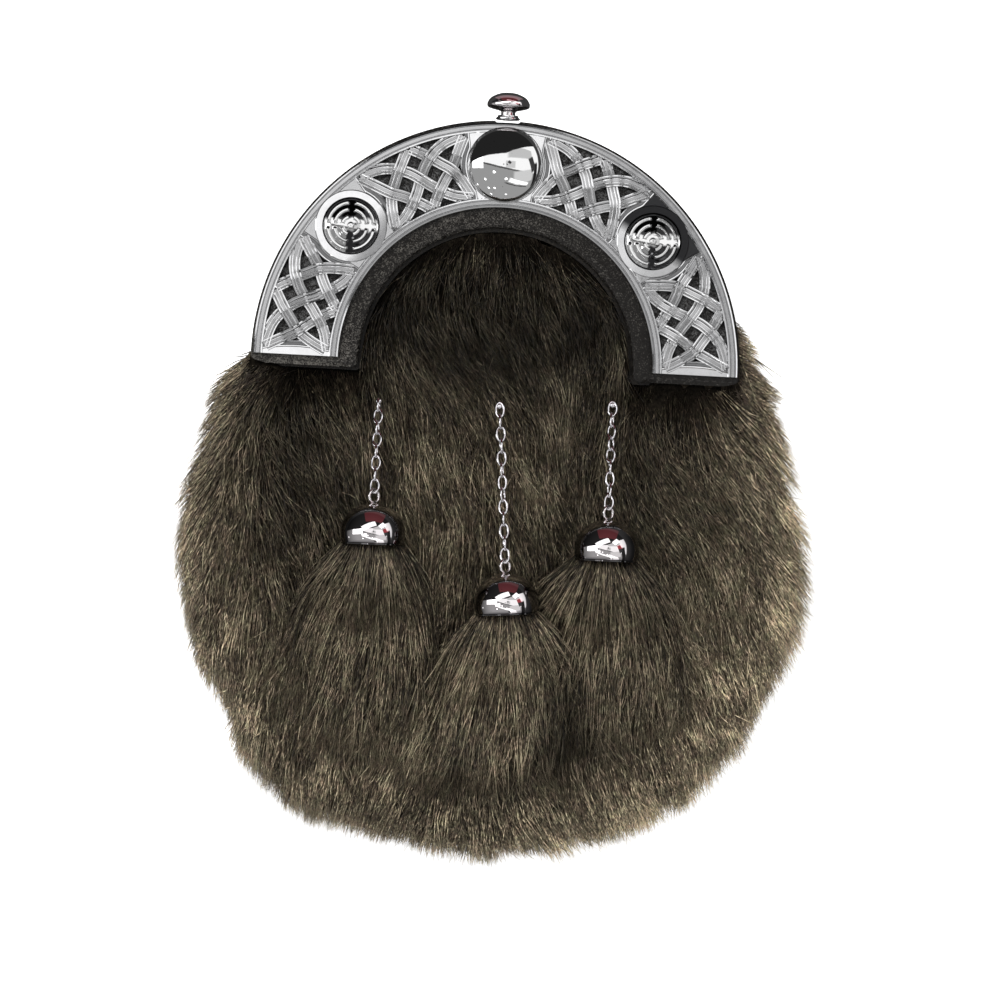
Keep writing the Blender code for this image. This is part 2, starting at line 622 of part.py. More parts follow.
def make_hangs():
    for hang in hangs:
        side = hang["side"]
        top = np.array([hang["top"][0] * mm, arch_y + hang["top"][1] * mm, 0.0])
        bell = np.array([hang["bell"][0] * mm, arch_y + hang["bell"][1] * mm, 0.0])
        down = bell - top
        run = np.linalg.norm(down)
        down /= run
        wide = np.array([-down[1], down[0], 0.0])
        out = np.array([0.0, 0.0, 1.0])
        chain_z = hang["axis"] * mm
        lift = np.array([0.0, 0.0, chain_z])
        # ring of the bell: its centre is ring_r above the bell's crown
        ring_at = bell + lift
        staple = top + np.array([0.0, 0.0, hang["seat"] * mm + staple_h])
        slope = ring_at - staple
        slope /= np.linalg.norm(slope)
        rise = np.cross(slope, wide)
        rise *= np.sign(rise[2])
        last = ring_at - slope * (ring_r + 0.5 * link_length - 1.88 * mm)
        number = int((np.linalg.norm(last - staple)) // link_pitch) + 1
        body = None
        for n in range(number):
            centre = last - slope * link_pitch * n
            turn = math.radians(45 if n % 2 == 0 else -45)
            across = wide * math.cos(turn) + rise * math.sin(turn)
            normal = np.cross(slope, across)
            points, faces = link(centre, slope, across, normal, link_length, link_width, link_wire, 6)
            piece = solid("chain_" + side if body is None else "link", points, faces, chrome, 0.18, 1.0)
            if body is None:
                body = piece
            else:
                boolean(body, piece, "UNION")
        # staple: a post from the last link down to the fur's backing
        foot_at = centre - slope * 1.2 * mm
        base_z = hang["seat"] * mm
        post = [(foot_at[0] + staple_r * math.cos(a), foot_at[1] + staple_r * math.sin(a))
                for a in np.linspace(0, 2 * math.pi, 9)[:-1]]
        boolean(body, prism("post", post, base_z, foot_at[2] + 0.2 * mm), "UNION")
        tidy(body)
        smooth(body, 50)

        # bell: hollow dome, its ring standing on the crown in the plane of the chain
        crown = ring_at + down * (ring_r - 0.1 * mm)
        profile = []
        steps = 3
        for k in range(steps + 1):
            a = 0.5 * math.pi * k / steps
            profile.append((bell_r * math.sin(a), bell_h * 0.62 * (1 - math.cos(a))))
        profile += [(bell_r + 0.35 * mm, bell_h * 0.8), (bell_r + 0.1 * mm, bell_h)]
        inner_r = bell_r - bell_wall
        profile += [(inner_r, bell_h)]
        for k in range(steps, -1, -1):
            a = 0.5 * math.pi * k / steps
            profile.append((inner_r * math.sin(a), bell_wall + (bell_h * 0.62 - bell_wall) * (1 - math.cos(a))))

        def place(r, a, h, crown=crown, down=down, wide=wide, out=out):
            return tuple(crown + down * h + wide * (r * math.cos(a)) + out * (r * math.sin(a)))
        cap = turned("bell_" + side, profile, 16, place, chrome, 0.07, 1.0)
        n_turn = math.radians(-45)
        across = wide * math.cos(n_turn) + out * math.sin(n_turn)
        normal = np.cross(down, across)
        points, faces = link(ring_at, down, across, normal, 2 * (ring_r + ring_wire), 2 * (ring_r + ring_wire),
                             2 * ring_wire, 8, 5)
        boolean(cap, solid("ring", points, faces, chrome), "UNION")
        tidy(cap)
        smooth(cap, 40)

        # tassel: a plug in the bell, and locks that fan out of it
        foot = np.array([hang["foot"][0] * mm, arch_y + hang["foot"][1] * mm, 0.0])
        mouth = crown + down * bell_h
        plug_r = inner_r - 0.4 * mm
        plug_profile = [(0.0, 1.6 * mm), (4.1 * mm, 2.6 * mm), (6.9 * mm, 5.2 * mm), (plug_r, 8.7 * mm),
                        (plug_r, bell_h + 1.5 * mm), (plug_r * 0.8, bell_h + 5 * mm), (0.0, bell_h + 6 * mm)]
        tuft = turned("tassel_" + side, plug_profile, 12, place, fur, 0.9, 0.0)
        spread = hang["spread"] * mm
        start = mouth - down * 1.5 * mm
        for n in range(lock_count):
            f = -1 + 2 * n / (lock_count - 1)
            tip = np.array([foot[0], foot[1], 0.0]) + wide * (-f * spread)
            long = 1.0 if n % 2 == 0 else 0.93
            tip_z = chain_z - 2.0 * mm + (2.5 * mm if n % 2 else -1.5 * mm)
            a0 = start + wide * (-f * plug_r * 0.62) + out * (0.35 * mm * (n % 3))
            a3 = np.array([tip[0], tip[1], tip_z])
            a3 = a0 + (a3 - a0) * long
            a1 = a0 + down * 10 * mm + wide * (-f * spread * 0.22)
            a2 = a0 * 0.35 + a3 * 0.65 + wide * (-f * spread * 0.13)
            widths = [4.6, 7.0, 7.6, 5.2, 0.9]
            sides = 5
            rows = []
            for s, w in zip(np.linspace(0, 1, len(widths)), widths):
                p = ((1 - s) ** 3 * a0 + 3 * (1 - s) ** 2 * s * a1 + 3 * (1 - s) * s * s * a2 + s ** 3 * a3)
                tangent = (3 * (1 - s) ** 2 * (a1 - a0) + 6 * (1 - s) * s * (a2 - a1) + 3 * s * s * (a3 - a2))
                tangent /= np.linalg.norm(tangent)
                flat = np.cross(out, tangent)
                flat /= np.linalg.norm(flat)
                rise = np.cross(tangent, flat)
                for k in range(sides):
                    b = 2 * math.pi * (k + 0.3 * (n % 2)) / sides
                    rows.append(p + flat * (0.5 * w * mm * math.cos(b)) + rise * (0.62 * w * mm * math.sin(b)))
            piece = solid("lock", rows, rings_to_faces(len(widths), sides), fur)
            boolean(tuft, piece, "UNION")
        tidy(tuft)
        smooth(tuft, 50)


make_cantle()
make_bosses()
make_knob()
make_facing()
make_pouch()
make_loops()
make_pelt()
make_hangs()
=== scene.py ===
# Full-dress sporran pouch lying on its back, dressed for its picture.
# +Y runs up the pouch to the knob, +Z out of the front. Tables are in millimetres.
import math

import bpy
import numpy as np
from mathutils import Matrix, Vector


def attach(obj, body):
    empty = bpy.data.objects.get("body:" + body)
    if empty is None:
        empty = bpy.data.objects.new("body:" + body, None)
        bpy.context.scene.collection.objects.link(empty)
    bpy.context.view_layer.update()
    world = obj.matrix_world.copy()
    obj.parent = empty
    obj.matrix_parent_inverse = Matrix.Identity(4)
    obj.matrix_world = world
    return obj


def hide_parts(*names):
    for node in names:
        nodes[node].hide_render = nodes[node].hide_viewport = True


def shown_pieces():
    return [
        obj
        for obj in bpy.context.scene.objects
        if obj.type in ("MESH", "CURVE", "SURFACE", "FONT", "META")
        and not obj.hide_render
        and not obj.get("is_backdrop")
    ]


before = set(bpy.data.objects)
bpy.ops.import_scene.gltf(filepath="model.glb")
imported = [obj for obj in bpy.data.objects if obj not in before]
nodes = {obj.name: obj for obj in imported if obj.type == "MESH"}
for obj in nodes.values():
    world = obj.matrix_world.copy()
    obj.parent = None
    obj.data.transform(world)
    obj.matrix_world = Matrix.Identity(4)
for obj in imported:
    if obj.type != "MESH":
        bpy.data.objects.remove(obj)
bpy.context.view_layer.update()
mm = 0.001
archY = 70.0       # heights below are over the arch's centre, which lies at this Y
upward = np.array([0.0, 0.0, 1.0])
print("frame loaded:", len(nodes), "nodes")


# surfaces are (points, faces), and a face of three corners has -1 as its fourth
def gridFaces(rows, cols, wrapRows=False, wrapCols=False):
    # each cell of a rows x cols grid joins its four neighbours, wrapping where the surface closes
    r = np.arange(rows if wrapRows else rows - 1)[:, None]
    c = np.arange(cols if wrapCols else cols - 1)[None, :]
    r2, c2 = (r + 1) % rows, (c + 1) % cols
    cells = np.stack(np.broadcast_arrays(r * cols + c, r * cols + c2, r2 * cols + c2, r2 * cols + c), -1)
    return cells.reshape(-1, 4)


def fanFaces(ring, middle):
    # every edge of a ring with the middle point
    return np.stack([ring, np.roll(ring, -1), np.full(len(ring), middle), np.full(len(ring), -1)], -1)


def joined(parts):
    # several surfaces as one
    points, faces, start = [], [], 0
    for p, f in parts:
        points.append(p)
        faces.append(np.where(f < 0, -1, f + start))
        start += len(p)
    return np.concatenate(points), np.concatenate(faces)


def outward(surface):
    # turns a closed surface the right way round by the sign of its volume
    points, faces = surface
    solid = faces[faces[:, 3] >= 0]
    volume = 0.0
    for i, j, k in (faces[:, :3].T, solid[:, [0, 2, 3]].T):
        volume += np.einsum("ij,ij->i", points[i], np.cross(points[j], points[k])).sum()
    if volume < 0:
        faces = faces[:, [2, 1, 0, 3]]
    return points, faces


def capped(grid, low, high):
    # rows of closed rings, with a point that closes each end
    rows, cols = grid.shape[:2]
    n = rows * cols
    faces = [gridFaces(rows, cols, False, True), fanFaces(np.arange(cols)[::-1], n),
             fanFaces(np.arange(cols) + n - cols, n + 1)]
    return outward((np.concatenate([grid.reshape(-1, 3), [low, high]]), np.concatenate(faces)))


def swept(path, across, up, profile, closedPath=False):
    # point (a, b) of the closed profile lies at path + across * a + up * b; open paths get flat ends
    profile = np.broadcast_to(profile, (len(path),) + np.shape(profile)[-2:])
    up = np.broadcast_to(up, path.shape)
    grid = path[:, None] + across[:, None] * profile[..., :1] + up[:, None] * profile[..., 1:]
    if closedPath:
        return outward((grid.reshape(-1, 3), gridFaces(*grid.shape[:2], True, True)))
    return capped(grid, grid[0].mean(0), grid[-1].mean(0))


def slab(top, low):
    # a grid of top points, the same grid at height low, and a wall round the edge
    rows, cols = top.shape[:2]
    under = top.copy()
    under[..., 2] = low
    count = rows * cols
    index = np.arange(count).reshape(rows, cols)
    edge = np.concatenate([index[0, :-1], index[:-1, -1], index[-1, :0:-1], index[:0:-1, 0]])
    wall = np.stack([edge, edge + count, np.roll(edge, -1) + count, np.roll(edge, -1)], -1)
    face = gridFaces(rows, cols)
    points = np.concatenate([top.reshape(-1, 3), under.reshape(-1, 3)])
    return outward((points, np.concatenate([face, face[:, ::-1] + count, wall])))


def turned(profile, segments, centre, axis=(0, 0, 1), side=(1, 0, 0)):
    # profile (radius, height) carried round an axis; a closed profile gives a ring or a cup
    profile = np.asarray(profile, float)
    axis, side = np.asarray(axis, float), np.asarray(side, float)
    other = np.cross(axis, side)
    angle = np.linspace(0, 2 * np.pi, segments, endpoint=False)
    spoke = np.cos(angle)[:, None] * side + np.sin(angle)[:, None] * other
    points = centre + profile[:, None, 1:] * axis + profile[:, None, :1] * spoke
    poleLow, poleHigh = profile[0, 0] < 1e-6, profile[-1, 0] < 1e-6
    rows = points[1 if poleLow else 0:len(points) - (1 if poleHigh else 0)]
    count = len(rows) * segments
    faces = [gridFaces(len(rows), segments, not (poleLow or poleHigh), True)]
    extra = []
    if poleLow:
        extra.append(points[0, 0])
        faces.append(fanFaces(np.arange(segments)[::-1], count))
    if poleHigh:
        extra.append(points[-1, 0])
        faces.append(fanFaces(np.arange(segments) + count - segments, count + len(extra) - 1))
    flat = rows.reshape(-1, 3)
    return outward((np.concatenate([flat, np.array(extra).reshape(-1, 3)]), np.concatenate(faces)))


def spline(points, steps):
    # Catmull-Rom curve through the points, any number of columns
    pts = np.asarray(points, float)
    pad = np.vstack([2 * pts[0] - pts[1], pts, 2 * pts[-1] - pts[-2]])
    t = np.linspace(0, 1, steps, endpoint=False)[None, :, None]
    a, b, c, d = (pad[k:len(pad) - 3 + k][:, None] for k in range(4))
    curve = 0.5 * (2 * b + (c - a) * t + (2 * a - 5 * b + 4 * c - d) * t ** 2 + (3 * b - a - 3 * c + d) * t ** 3)
    return np.vstack([curve.reshape(-1, pts.shape[1]), pts[-1]])


def rays(angle):
    # unit vectors at angles in radians from +X
    return np.stack([np.cos(angle), np.sin(angle)], -1)


def polar(radius, degrees, side=1.0):
    # point of the arch at an angle from straight up; side -1 is the left
    a = np.radians(degrees)
    return np.stack(np.broadcast_arrays(side * radius * np.sin(a), archY + radius * np.cos(a)), -1)


def lifted(flat, height):
    # x and y with a height added as z
    return np.concatenate([flat, np.broadcast_to(height, flat.shape[:-1])[..., None]], -1)


def unit(vectors):
    # vectors divided by their length
    return vectors / np.linalg.norm(vectors, axis=-1)[..., None]


def leftOf(way):
    # the way's x and y turned a quarter turn to the left
    return np.stack([-way[:, 1], way[:, 0]], -1)


def eased(t):
    # 0 to 1 along 3 t squared - 2 t cubed, level past both ends
    t = np.clip(t, 0, 1)
    return t * t * (3 - 2 * t)


def makePiece(name, surface, material, replaces=(), body="pouch", sharp=35.0, values=None):
    # writes points in millimetres and faces into one mesh object at the origin
    points, faces = surface
    used = faces >= 0
    sizes = used.sum(1)
    mesh = bpy.data.meshes.new(name)
    mesh.vertices.add(len(points))
    mesh.vertices.foreach_set("co", (points * mm).astype(np.float32).ravel())
    mesh.loops.add(int(sizes.sum()))
    mesh.loops.foreach_set("vertex_index", faces[used].astype(np.int32))
    mesh.polygons.add(len(sizes))
    mesh.polygons.foreach_set("loop_start", (np.cumsum(sizes) - sizes).astype(np.int32))
    mesh.polygons.foreach_set("use_smooth", np.ones(len(sizes), bool))
    mesh.update(calc_edges=True)
    if sharp:
        mesh.set_sharp_from_angle(angle=math.radians(sharp))
    for key, data in (values or {}).items():
        layer = mesh.attributes.new(key, "FLOAT", "POINT")
        layer.data.foreach_set("value", data.astype(np.float32))
    mesh.materials.append(material)
    piece = bpy.data.objects.new(name, mesh)
    bpy.context.scene.collection.objects.link(piece)
    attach(piece, body)
    if replaces:
        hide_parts(*replaces)
    return piece


class NodeTree:
    # one node tree; each call adds a node and gives back the socket of it that is used
    def __init__(self, tree):
        self.tree, self.shader, self.place = tree, tree.nodes.get("Principled BSDF"), None

    def put(self, node, inputs):
        # a socket is linked in, anything else is set as the input's value
        for key, value in inputs.items():
            if isinstance(value, bpy.types.NodeSocket):
                self.tree.links.new(value, node.inputs[key])
            else:
                node.inputs[key].default_value = value

    def add(self, kind, inputs, output=0, **settings):
        # a node with its settings and inputs; a node without outputs comes back itself
        node = self.tree.nodes.new("ShaderNode" + kind)
        for key, value in settings.items():
            setattr(node, key, value)
        self.put(node, inputs)
        return node.outputs[output] if node.outputs else node

    def maths(self, kind, *inputs):
        # one sum of numbers
        return self.add("Math", dict(enumerate(inputs)), operation=kind)

    def vectors(self, kind, *inputs, output="Vector"):
        # one sum of vectors
        return self.add("VectorMath", dict(enumerate(inputs)), output, operation=kind)

    def scaled(self, colour, gain):
        # colour times a number
        return self.add("VectorMath", {0: colour, "Scale": gain}, operation="SCALE")

    def noise(self, scale, detail=2.0, rough=0.5):
        # cloudy noise between 0 and 1 at the place
        return self.add("TexNoise", {"Vector": self.place, "Scale": scale, "Detail": detail, "Roughness": rough})

    def value(self, name):
        # the number that the mesh holds at each point
        return self.add("Attribute", {}, "Fac", attribute_name=name)

    def span(self, value, low, high, toLow=0.0, toHigh=1.0):
        # straight line from (low, toLow) to (high, toHigh), level past both ends
        return self.add("MapRange", {0: value, 1: low, 2: high, 3: toLow, 4: toHigh})

    def mix(self, factor, below, above):
        # from the colour below at 0 to the one above at 1
        return self.add("Mix", {0: factor, 6: below, 7: (*above, 1.0)}, 2, data_type="RGBA")

    def bump(self, height, strength, distance, **under):
        # surface direction tilted as if raised by the height
        return self.add("Bump", {"Height": height, "Strength": strength, "Distance": distance, **under})

    def ramp(self, source, stops):
        # colour ramp from a list of (position, grey or colour)
        out = self.add("ValToRGB", {"Fac": source})
        line = out.node.color_ramp
        while len(line.elements) < len(stops):
            line.elements.new(0.5)
        for element, (at, colour) in zip(line.elements, stops):
            element.position = at
            element.color = (*colour, 1.0) if isinstance(colour, tuple) else (colour, colour, colour, 1.0)
        return out


def newMaterial(name):
    # a material and its nodes, with Object coordinates as the place
    mat = bpy.data.materials.new(name)
    mat.use_nodes = True
    tree = NodeTree(mat.node_tree)
    tree.place = tree.add("TexCoord", {}, "Object")
    return mat, tree


# its darkest colour stands for patina and for painted shade
metalLook = dict(chrome=(0.88, 0.88, 0.89), dull=0.86, patinaAndShade=(0.028, 0.028, 0.030), rough=(0.02, 0.07), satin=0.40)


def makeMetal(name, withPatinaAndShade=True, tint=(1.0, 1.0, 1.0)):
    # polished cast metal: cloudy polish, fine handling scratches, darkened by patina and painted shade where that
    # value is high
    mat, tree = newMaterial(name)
    cloud, fine = tree.noise(260.0, 5.0, 0.6), tree.noise(2300.0, 3.0)
    bright = tuple(c * t for c, t in zip(metalLook["chrome"], tint))
    colour = tree.ramp(cloud, [(0.3, tuple(c * metalLook["dull"] for c in bright)), (0.62, bright)])
    gloss = tree.span(cloud, 0.35, 0.7, *metalLook["rough"])
    if withPatinaAndShade:
        depth = tree.value("patinaAndShade")
        colour = tree.mix(depth, colour, metalLook["patinaAndShade"])
        gloss = tree.maths("MULTIPLY_ADD", depth, metalLook["satin"], gloss)
    bump = tree.bump(cloud, 0.06, 0.00012, Normal=tree.bump(fine, 0.06, 0.00004))
    tree.put(tree.shader, {"Metallic": 1.0, "Base Color": colour, "Roughness": gloss, "Normal": bump})
    return mat


def makeMirror(name, tint=(0.84, 0.84, 0.84), shaded=False):
    # plated dome: nearly clean mirror with a few small pits and faint wipe marks; a shaded one is
    # darkened where its patina and painted shade value is high: painted shade on the bells, painted reflection on the
    # ring bosses
    mat, tree = newMaterial(name)
    pits = tree.add("TexVoronoi", {"Vector": tree.place, "Scale": 420.0})
    colour = tree.ramp(pits, [(0.03, 0.45), (0.09, tint)])
    if shaded:
        colour = tree.mix(tree.value("patinaAndShade"), colour, metalLook["patinaAndShade"])
    haze = tree.noise(120.0, 6.0)
    tree.put(tree.shader, {"Metallic": 1.0, "Base Color": colour, "Roughness": tree.span(haze, 0.4, 0.75, 0.02, 0.09),
                           "Normal": tree.bump(haze, 0.3, 0.0001)})
    return mat


leatherLook = dict(dark=(0.004, 0.0033, 0.0027), worn=(0.050, 0.043, 0.034), grain=1500.0, rough=(0.38, 0.62),
                   unworn=-0.30)


def makeLeather(name, wear=0.35, grain=1.0, paintedLightAt=(), worn=leatherLook["worn"]):
    # pebbled grain from Voronoi cells with a crease noise over them; worn tops take another colour and are
    # rougher; round the listed places of painted light they spread wider as a painted highlight: each a middle, a
    # reach and how much more it is lit
    mat, tree = newMaterial(name)
    cell = tree.add("TexVoronoi", {"Vector": tree.place, "Scale": leatherLook["grain"] * grain}, feature="SMOOTH_F1")
    height = tree.maths("SUBTRACT", tree.noise(900.0, 6.0, 0.7), cell)
    wearAndLightMask = tree.maths("ADD", height, tree.noise(420.0, 6.0, 0.75))
    most = leatherLook["unworn"]
    for middle, reach, more in paintedLightAt:
        away = tree.vectors("DISTANCE", tree.place, middle, output="Value")
        most = tree.maths("MAXIMUM", most, tree.span(away, 0.0, reach, more, leatherLook["unworn"]))
    if paintedLightAt:
        wearAndLightMask = tree.maths("ADD", wearAndLightMask, most)
    tops = tuple(d + (w - d) * wear for d, w in zip(leatherLook["dark"], worn))
    tree.put(tree.shader, {"Base Color": tree.ramp(wearAndLightMask, [(0.45, leatherLook["dark"]), (1.0, tops)]),
                           "Roughness": tree.span(wearAndLightMask, 0.4, 1.0, *leatherLook["rough"]),
                           "Normal": tree.bump(height, 0.75, 0.00022), "Specular IOR Level": 0.30})
    return mat


def makeThread(name, colour):
    # twisted thread: wavy bands, with painted shade making the grooves half as light
    mat, tree = newMaterial(name)
    twist = tree.add("TexWave", {"Vector": tree.place, "Scale": 900.0, "Distortion": 3.0}, "Fac")
    tone = tree.ramp(twist, [(0.0, tuple(c * 0.5 for c in colour)), (1.0, colour)])
    tree.put(tree.shader, {"Base Color": tone, "Normal": tree.bump(twist, 0.5, 0.0001), "Roughness": 0.7})
    return mat


furLook = dict(root=(0.012, 0.0092, 0.0068), body=(0.082, 0.067, 0.045), tip=(0.27, 0.225, 0.155),
               stops=(0.05, 0.55, 1.15 / 1.2), green=(0.92, 1.0, 0.93), red=(1.0, 0.92, 0.95), bands=12.0, swing=0.40)


def makeFur(name):
    # dark at the root, tan at the tip, the dark root partly the hair's own colour and partly painted shade, with
    # light and dark bands along each hair; the hair's own tone and the painted light and shade of its place on the
    # pelt make it lighter or darker, and it leans to green or to red
    mat, tree = newMaterial(name)
    along, tone, swing = tree.value("along"), tree.value("tone"), furLook["swing"]
    stretch = tree.maths("MULTIPLY_ADD", along, furLook["bands"], tree.maths("MULTIPLY", tone, 157.0))
    band = tree.add("TexNoise", {"W": stretch, "Scale": 1.0, "Detail": 2.0}, noise_dimensions="1D")
    where = tree.maths("ADD", along, tree.span(tone, 0.0, 1.0, -swing, swing))
    where = tree.maths("ADD", where, tree.span(band, 0.25, 0.75, -swing, swing))
    colour = tree.ramp(where, list(zip(furLook["stops"], (furLook["root"], furLook["body"], furLook["tip"]))))
    patch = tree.span(tree.noise(90.0, 3.0), 0.3, 0.7, 0.75, 1.25)
    colour = tree.scaled(colour, tree.maths("MULTIPLY", patch, tree.value("light")))
    tint = tree.ramp(tree.noise(300.0, 3.0, 0.7), [(0.36, furLook["green"]), (0.64, furLook["red"])])
    tree.put(tree.shader, {"Base Color": tree.vectors("MULTIPLY", colour, tint), "Roughness": 0.38,
                           "Specular IOR Level": 0.42})
    return mat


def makeWool(name):
    # soft dark wool: matte, with fine streaks of brown, and the painted light and shade of the fur over it
    mat, tree = newMaterial(name)
    fine = tree.noise(900.0, 4.0, 0.7)
    streaks = tree.ramp(fine, [(0.35, (0.010, 0.008, 0.006)), (0.7, (0.048, 0.039, 0.028))])
    tree.put(tree.shader, {"Base Color": tree.scaled(streaks, tree.value("light")), "Roughness": 0.95,
                           "Specular IOR Level": 0.05, "Normal": tree.bump(fine, 0.8, 0.0004)})
    return mat


castMetal = makeMetal("castMetal")
wireMetal = makeMetal("wireMetal", withPatinaAndShade=False, tint=(0.92, 0.90, 0.92))
mirrorMetal = makeMirror("mirrorMetal")
bossMetal = makeMirror("bossMetal", shaded=True)
bellMetal = makeMirror("bellMetal", tint=(0.84, 0.80, 0.81), shaded=True)
blackLeather = makeLeather("blackLeather")
# the lip has a painted highlight at the top of the arch and on the left foot strip, where the light falls
lipLeather = makeLeather("lipLeather", wear=1.0, grain=1.6, worn=(0.095, 0.089, 0.079),
                         paintedLightAt=[((-0.018, 0.118, 0.031), 0.10, -0.06), ((-0.062, 0.0685, 0.031), 0.045, 0.12)])
backingLeather = makeLeather("backingLeather", wear=1.0, grain=1.6, worn=(0.13, 0.13, 0.13))
blackThread = makeThread("blackThread", (0.03, 0.028, 0.026))
furFinish = makeFur("furFinish")
woolFinish = makeWool("woolFinish")
print("finishes ready")

cantle = dict(outer=76.4, inner=49.5, railOuter=73.3, railInner=52.6, back=30.9, plate=1.6, strandWidth=3.7,
              rise=0.55, step=0.30, bandMid=63.0, bandHalf=10.7, footBar=2.2, bossAngle=49.0)
centreGap, bossGap = dict(field=13.2, gap=10.2), dict(field=12.4, gap=9.8)    # ground kept free round the domes
panels = [dict(mid=24.8, half=14.2, above=0.0, upper=centreGap, below=cantle["bossAngle"], lower=bossGap),
          dict(mid=73.7, half=14.5, above=cantle["bossAngle"], upper=bossGap, below=None)]
fieldRadius = np.linspace(cantle["railInner"] - 0.3, cantle["railOuter"] + 0.3, 24)
# half of each knot strand: u along the panel, v across it, level over (1) or under (-1)
throughHalf = [(0.00, 0.00, -1), (0.15, 0.28, 0), (0.31, 0.50, 1), (0.45, 0.66, 0), (0.62, 0.79, 0), (0.80, 0.87, 0),
               (1.00, 0.94, 0)]
elbowHalf = [(0.00, -0.98, 0), (0.16, -0.73, 0), (0.31, -0.50, 1), (0.48, -0.24, 0), (0.66, 0.02, -1),
             (0.82, 0.40, 0), (0.99, 0.88, 0)]
# strand across: offset, drop from the top, patina and painted shade
strandHalf = [(-1.55, -0.17, 0.5), (-1.46, 0.0, 0.0), (-1.14, 0.0, 0.0), (-1.05, -0.08, 0.42), (-0.66, -0.07, 0.36),
              (-0.60, -0.03, 0.08), (-0.38, -0.03, 0.08), (-0.32, -0.07, 0.36)]
strandShape = np.array(strandHalf + [(-x, y, depth) for x, y, depth in strandHalf[::-1]])
# rails across: way in from the band's edge on the outer and on the inner rail, height, patina and painted shade
rails = np.array([(0.00, 0.00, 0.0, 0.6), (0.00, 0.00, 1.25, 0.2), (0.12, 0.14, 1.78, 0.0), (0.54, 0.58, 1.84, 0.0),
                  (0.70, 0.74, 1.58, 0.5), (0.92, 0.96, 1.58, 0.5), (1.06, 1.10, 1.84, 0.3), (2.00, 2.02, 1.86, 0.34),
                  (2.14, 2.16, 1.62, 0.45), (2.36, 2.38, 1.62, 0.45), (2.50, 2.52, 1.88, 0.0),
                  (2.94, 2.94, 1.88, 0.0), (3.18, 3.18, 1.50, 0.3), (3.18, 3.18, 0.0, 0.8)])
# line along a panel's end: offset, height, patina and painted shade
edgeShape = np.array([(-1.2, 0.0, 0.6), (-1.15, 0.42, 0.1), (-0.95, 0.62, 0.0), (-0.62, 0.60, 0.0),
                      (-0.42, 0.36, 0.7), (0.30, 0.36, 0.7), (0.50, 0.60, 0.0), (0.80, 0.62, 0.0), (1.0, 0.40, 0.1),
                      (1.05, 0.0, 0.6)])


def endAngle(radius, ground):
    # half angle kept free of strands: a least angle, or what a disc on the band's middle covers (cosine rule)
    mid = cantle["bandMid"]
    reach = (radius ** 2 + mid ** 2 - ground["field"] ** 2) / (2 * radius * mid)
    return np.maximum(ground["gap"], np.degrees(np.arccos(np.minimum(1.0, reach))))


def panelEnds(panel, radius):
    # angles at which a panel starts and stops at each radius
    high = panel["above"] + endAngle(radius, panel["upper"])
    if panel["below"] is None:
        bulge = 1.2 * (1 - ((radius - cantle["bandMid"]) / cantle["bandHalf"]) ** 2)
        return high, np.degrees(np.arccos((cantle["footBar"] + bulge) / radius))
    return high, panel["below"] - endAngle(radius, panel["lower"])


def withEnds(rows):
    # patina and painted shade values of a swept shape, with one for the middle of each end
    return np.concatenate([rows, [0.5, 0.5]])


def makeRail(radius, rows):
    # the rail's cross-section carried round the half ring
    angle = np.linspace(-90, 90, 181)
    path = np.tile([0.0, archY, cantle["back"]], (len(angle), 1))
    across = lifted(polar(1.0, angle) - [0.0, archY], 0.0)
    surface = swept(path, across, upward, np.column_stack([radius, rows[:, 2]]))
    return surface, withEnds(np.tile(rows[:, 3], len(angle)))


def bossShade(points, side):
    # painted reflection on the ground: light grey painted shade round the left boss, nearly black above and beside
    # the right one, as if mirroring a dark room
    gap = points[..., :2] - polar(cantle["bandMid"], cantle["bossAngle"], side)
    if side < 0:
        return np.full(gap.shape[:-1], 0.26)
    along = gap @ rays(math.radians(58.0)) / boss["sideRadius"]
    return 0.12 + 0.84 * np.clip((along + 0.30) / 0.35, 0, 1)


def makeField(low, high, side, cols=25, shaded=False):
    # flat ground between two panels: angle runs from one end curve to the other, radius between the rails
    angle = low[:, None] + (high - low)[:, None] * np.linspace(0, 1, cols)
    top = lifted(polar(fieldRadius[:, None], angle, side), cantle["back"] + cantle["plate"])
    surface = slab(top, cantle["back"])
    # a shaded field takes that painted reflection round the bosses
    return surface, bossShade(surface[0], side) if shaded else np.zeros(len(surface[0]))


def makeEdgeBand(panel, which, side):
    # twin raised lines along a panel's concave end
    radius = np.linspace(cantle["railInner"] - 0.2, cantle["railOuter"] + 0.2, 31)
    flat = polar(radius, panelEnds(panel, radius)[which], side)
    height = np.where(edgeShape[:, 1] > 0, edgeShape[:, 1] + cantle["plate"] - 0.15, 0.0)
    surface = swept(lifted(flat, cantle["back"]), lifted(leftOf(unit(np.gradient(flat, axis=0))), 0.0), upward,
                    np.column_stack([edgeShape[:, 0], height]))
    return surface, withEnds(np.tile(edgeShape[:, 2], len(flat)))


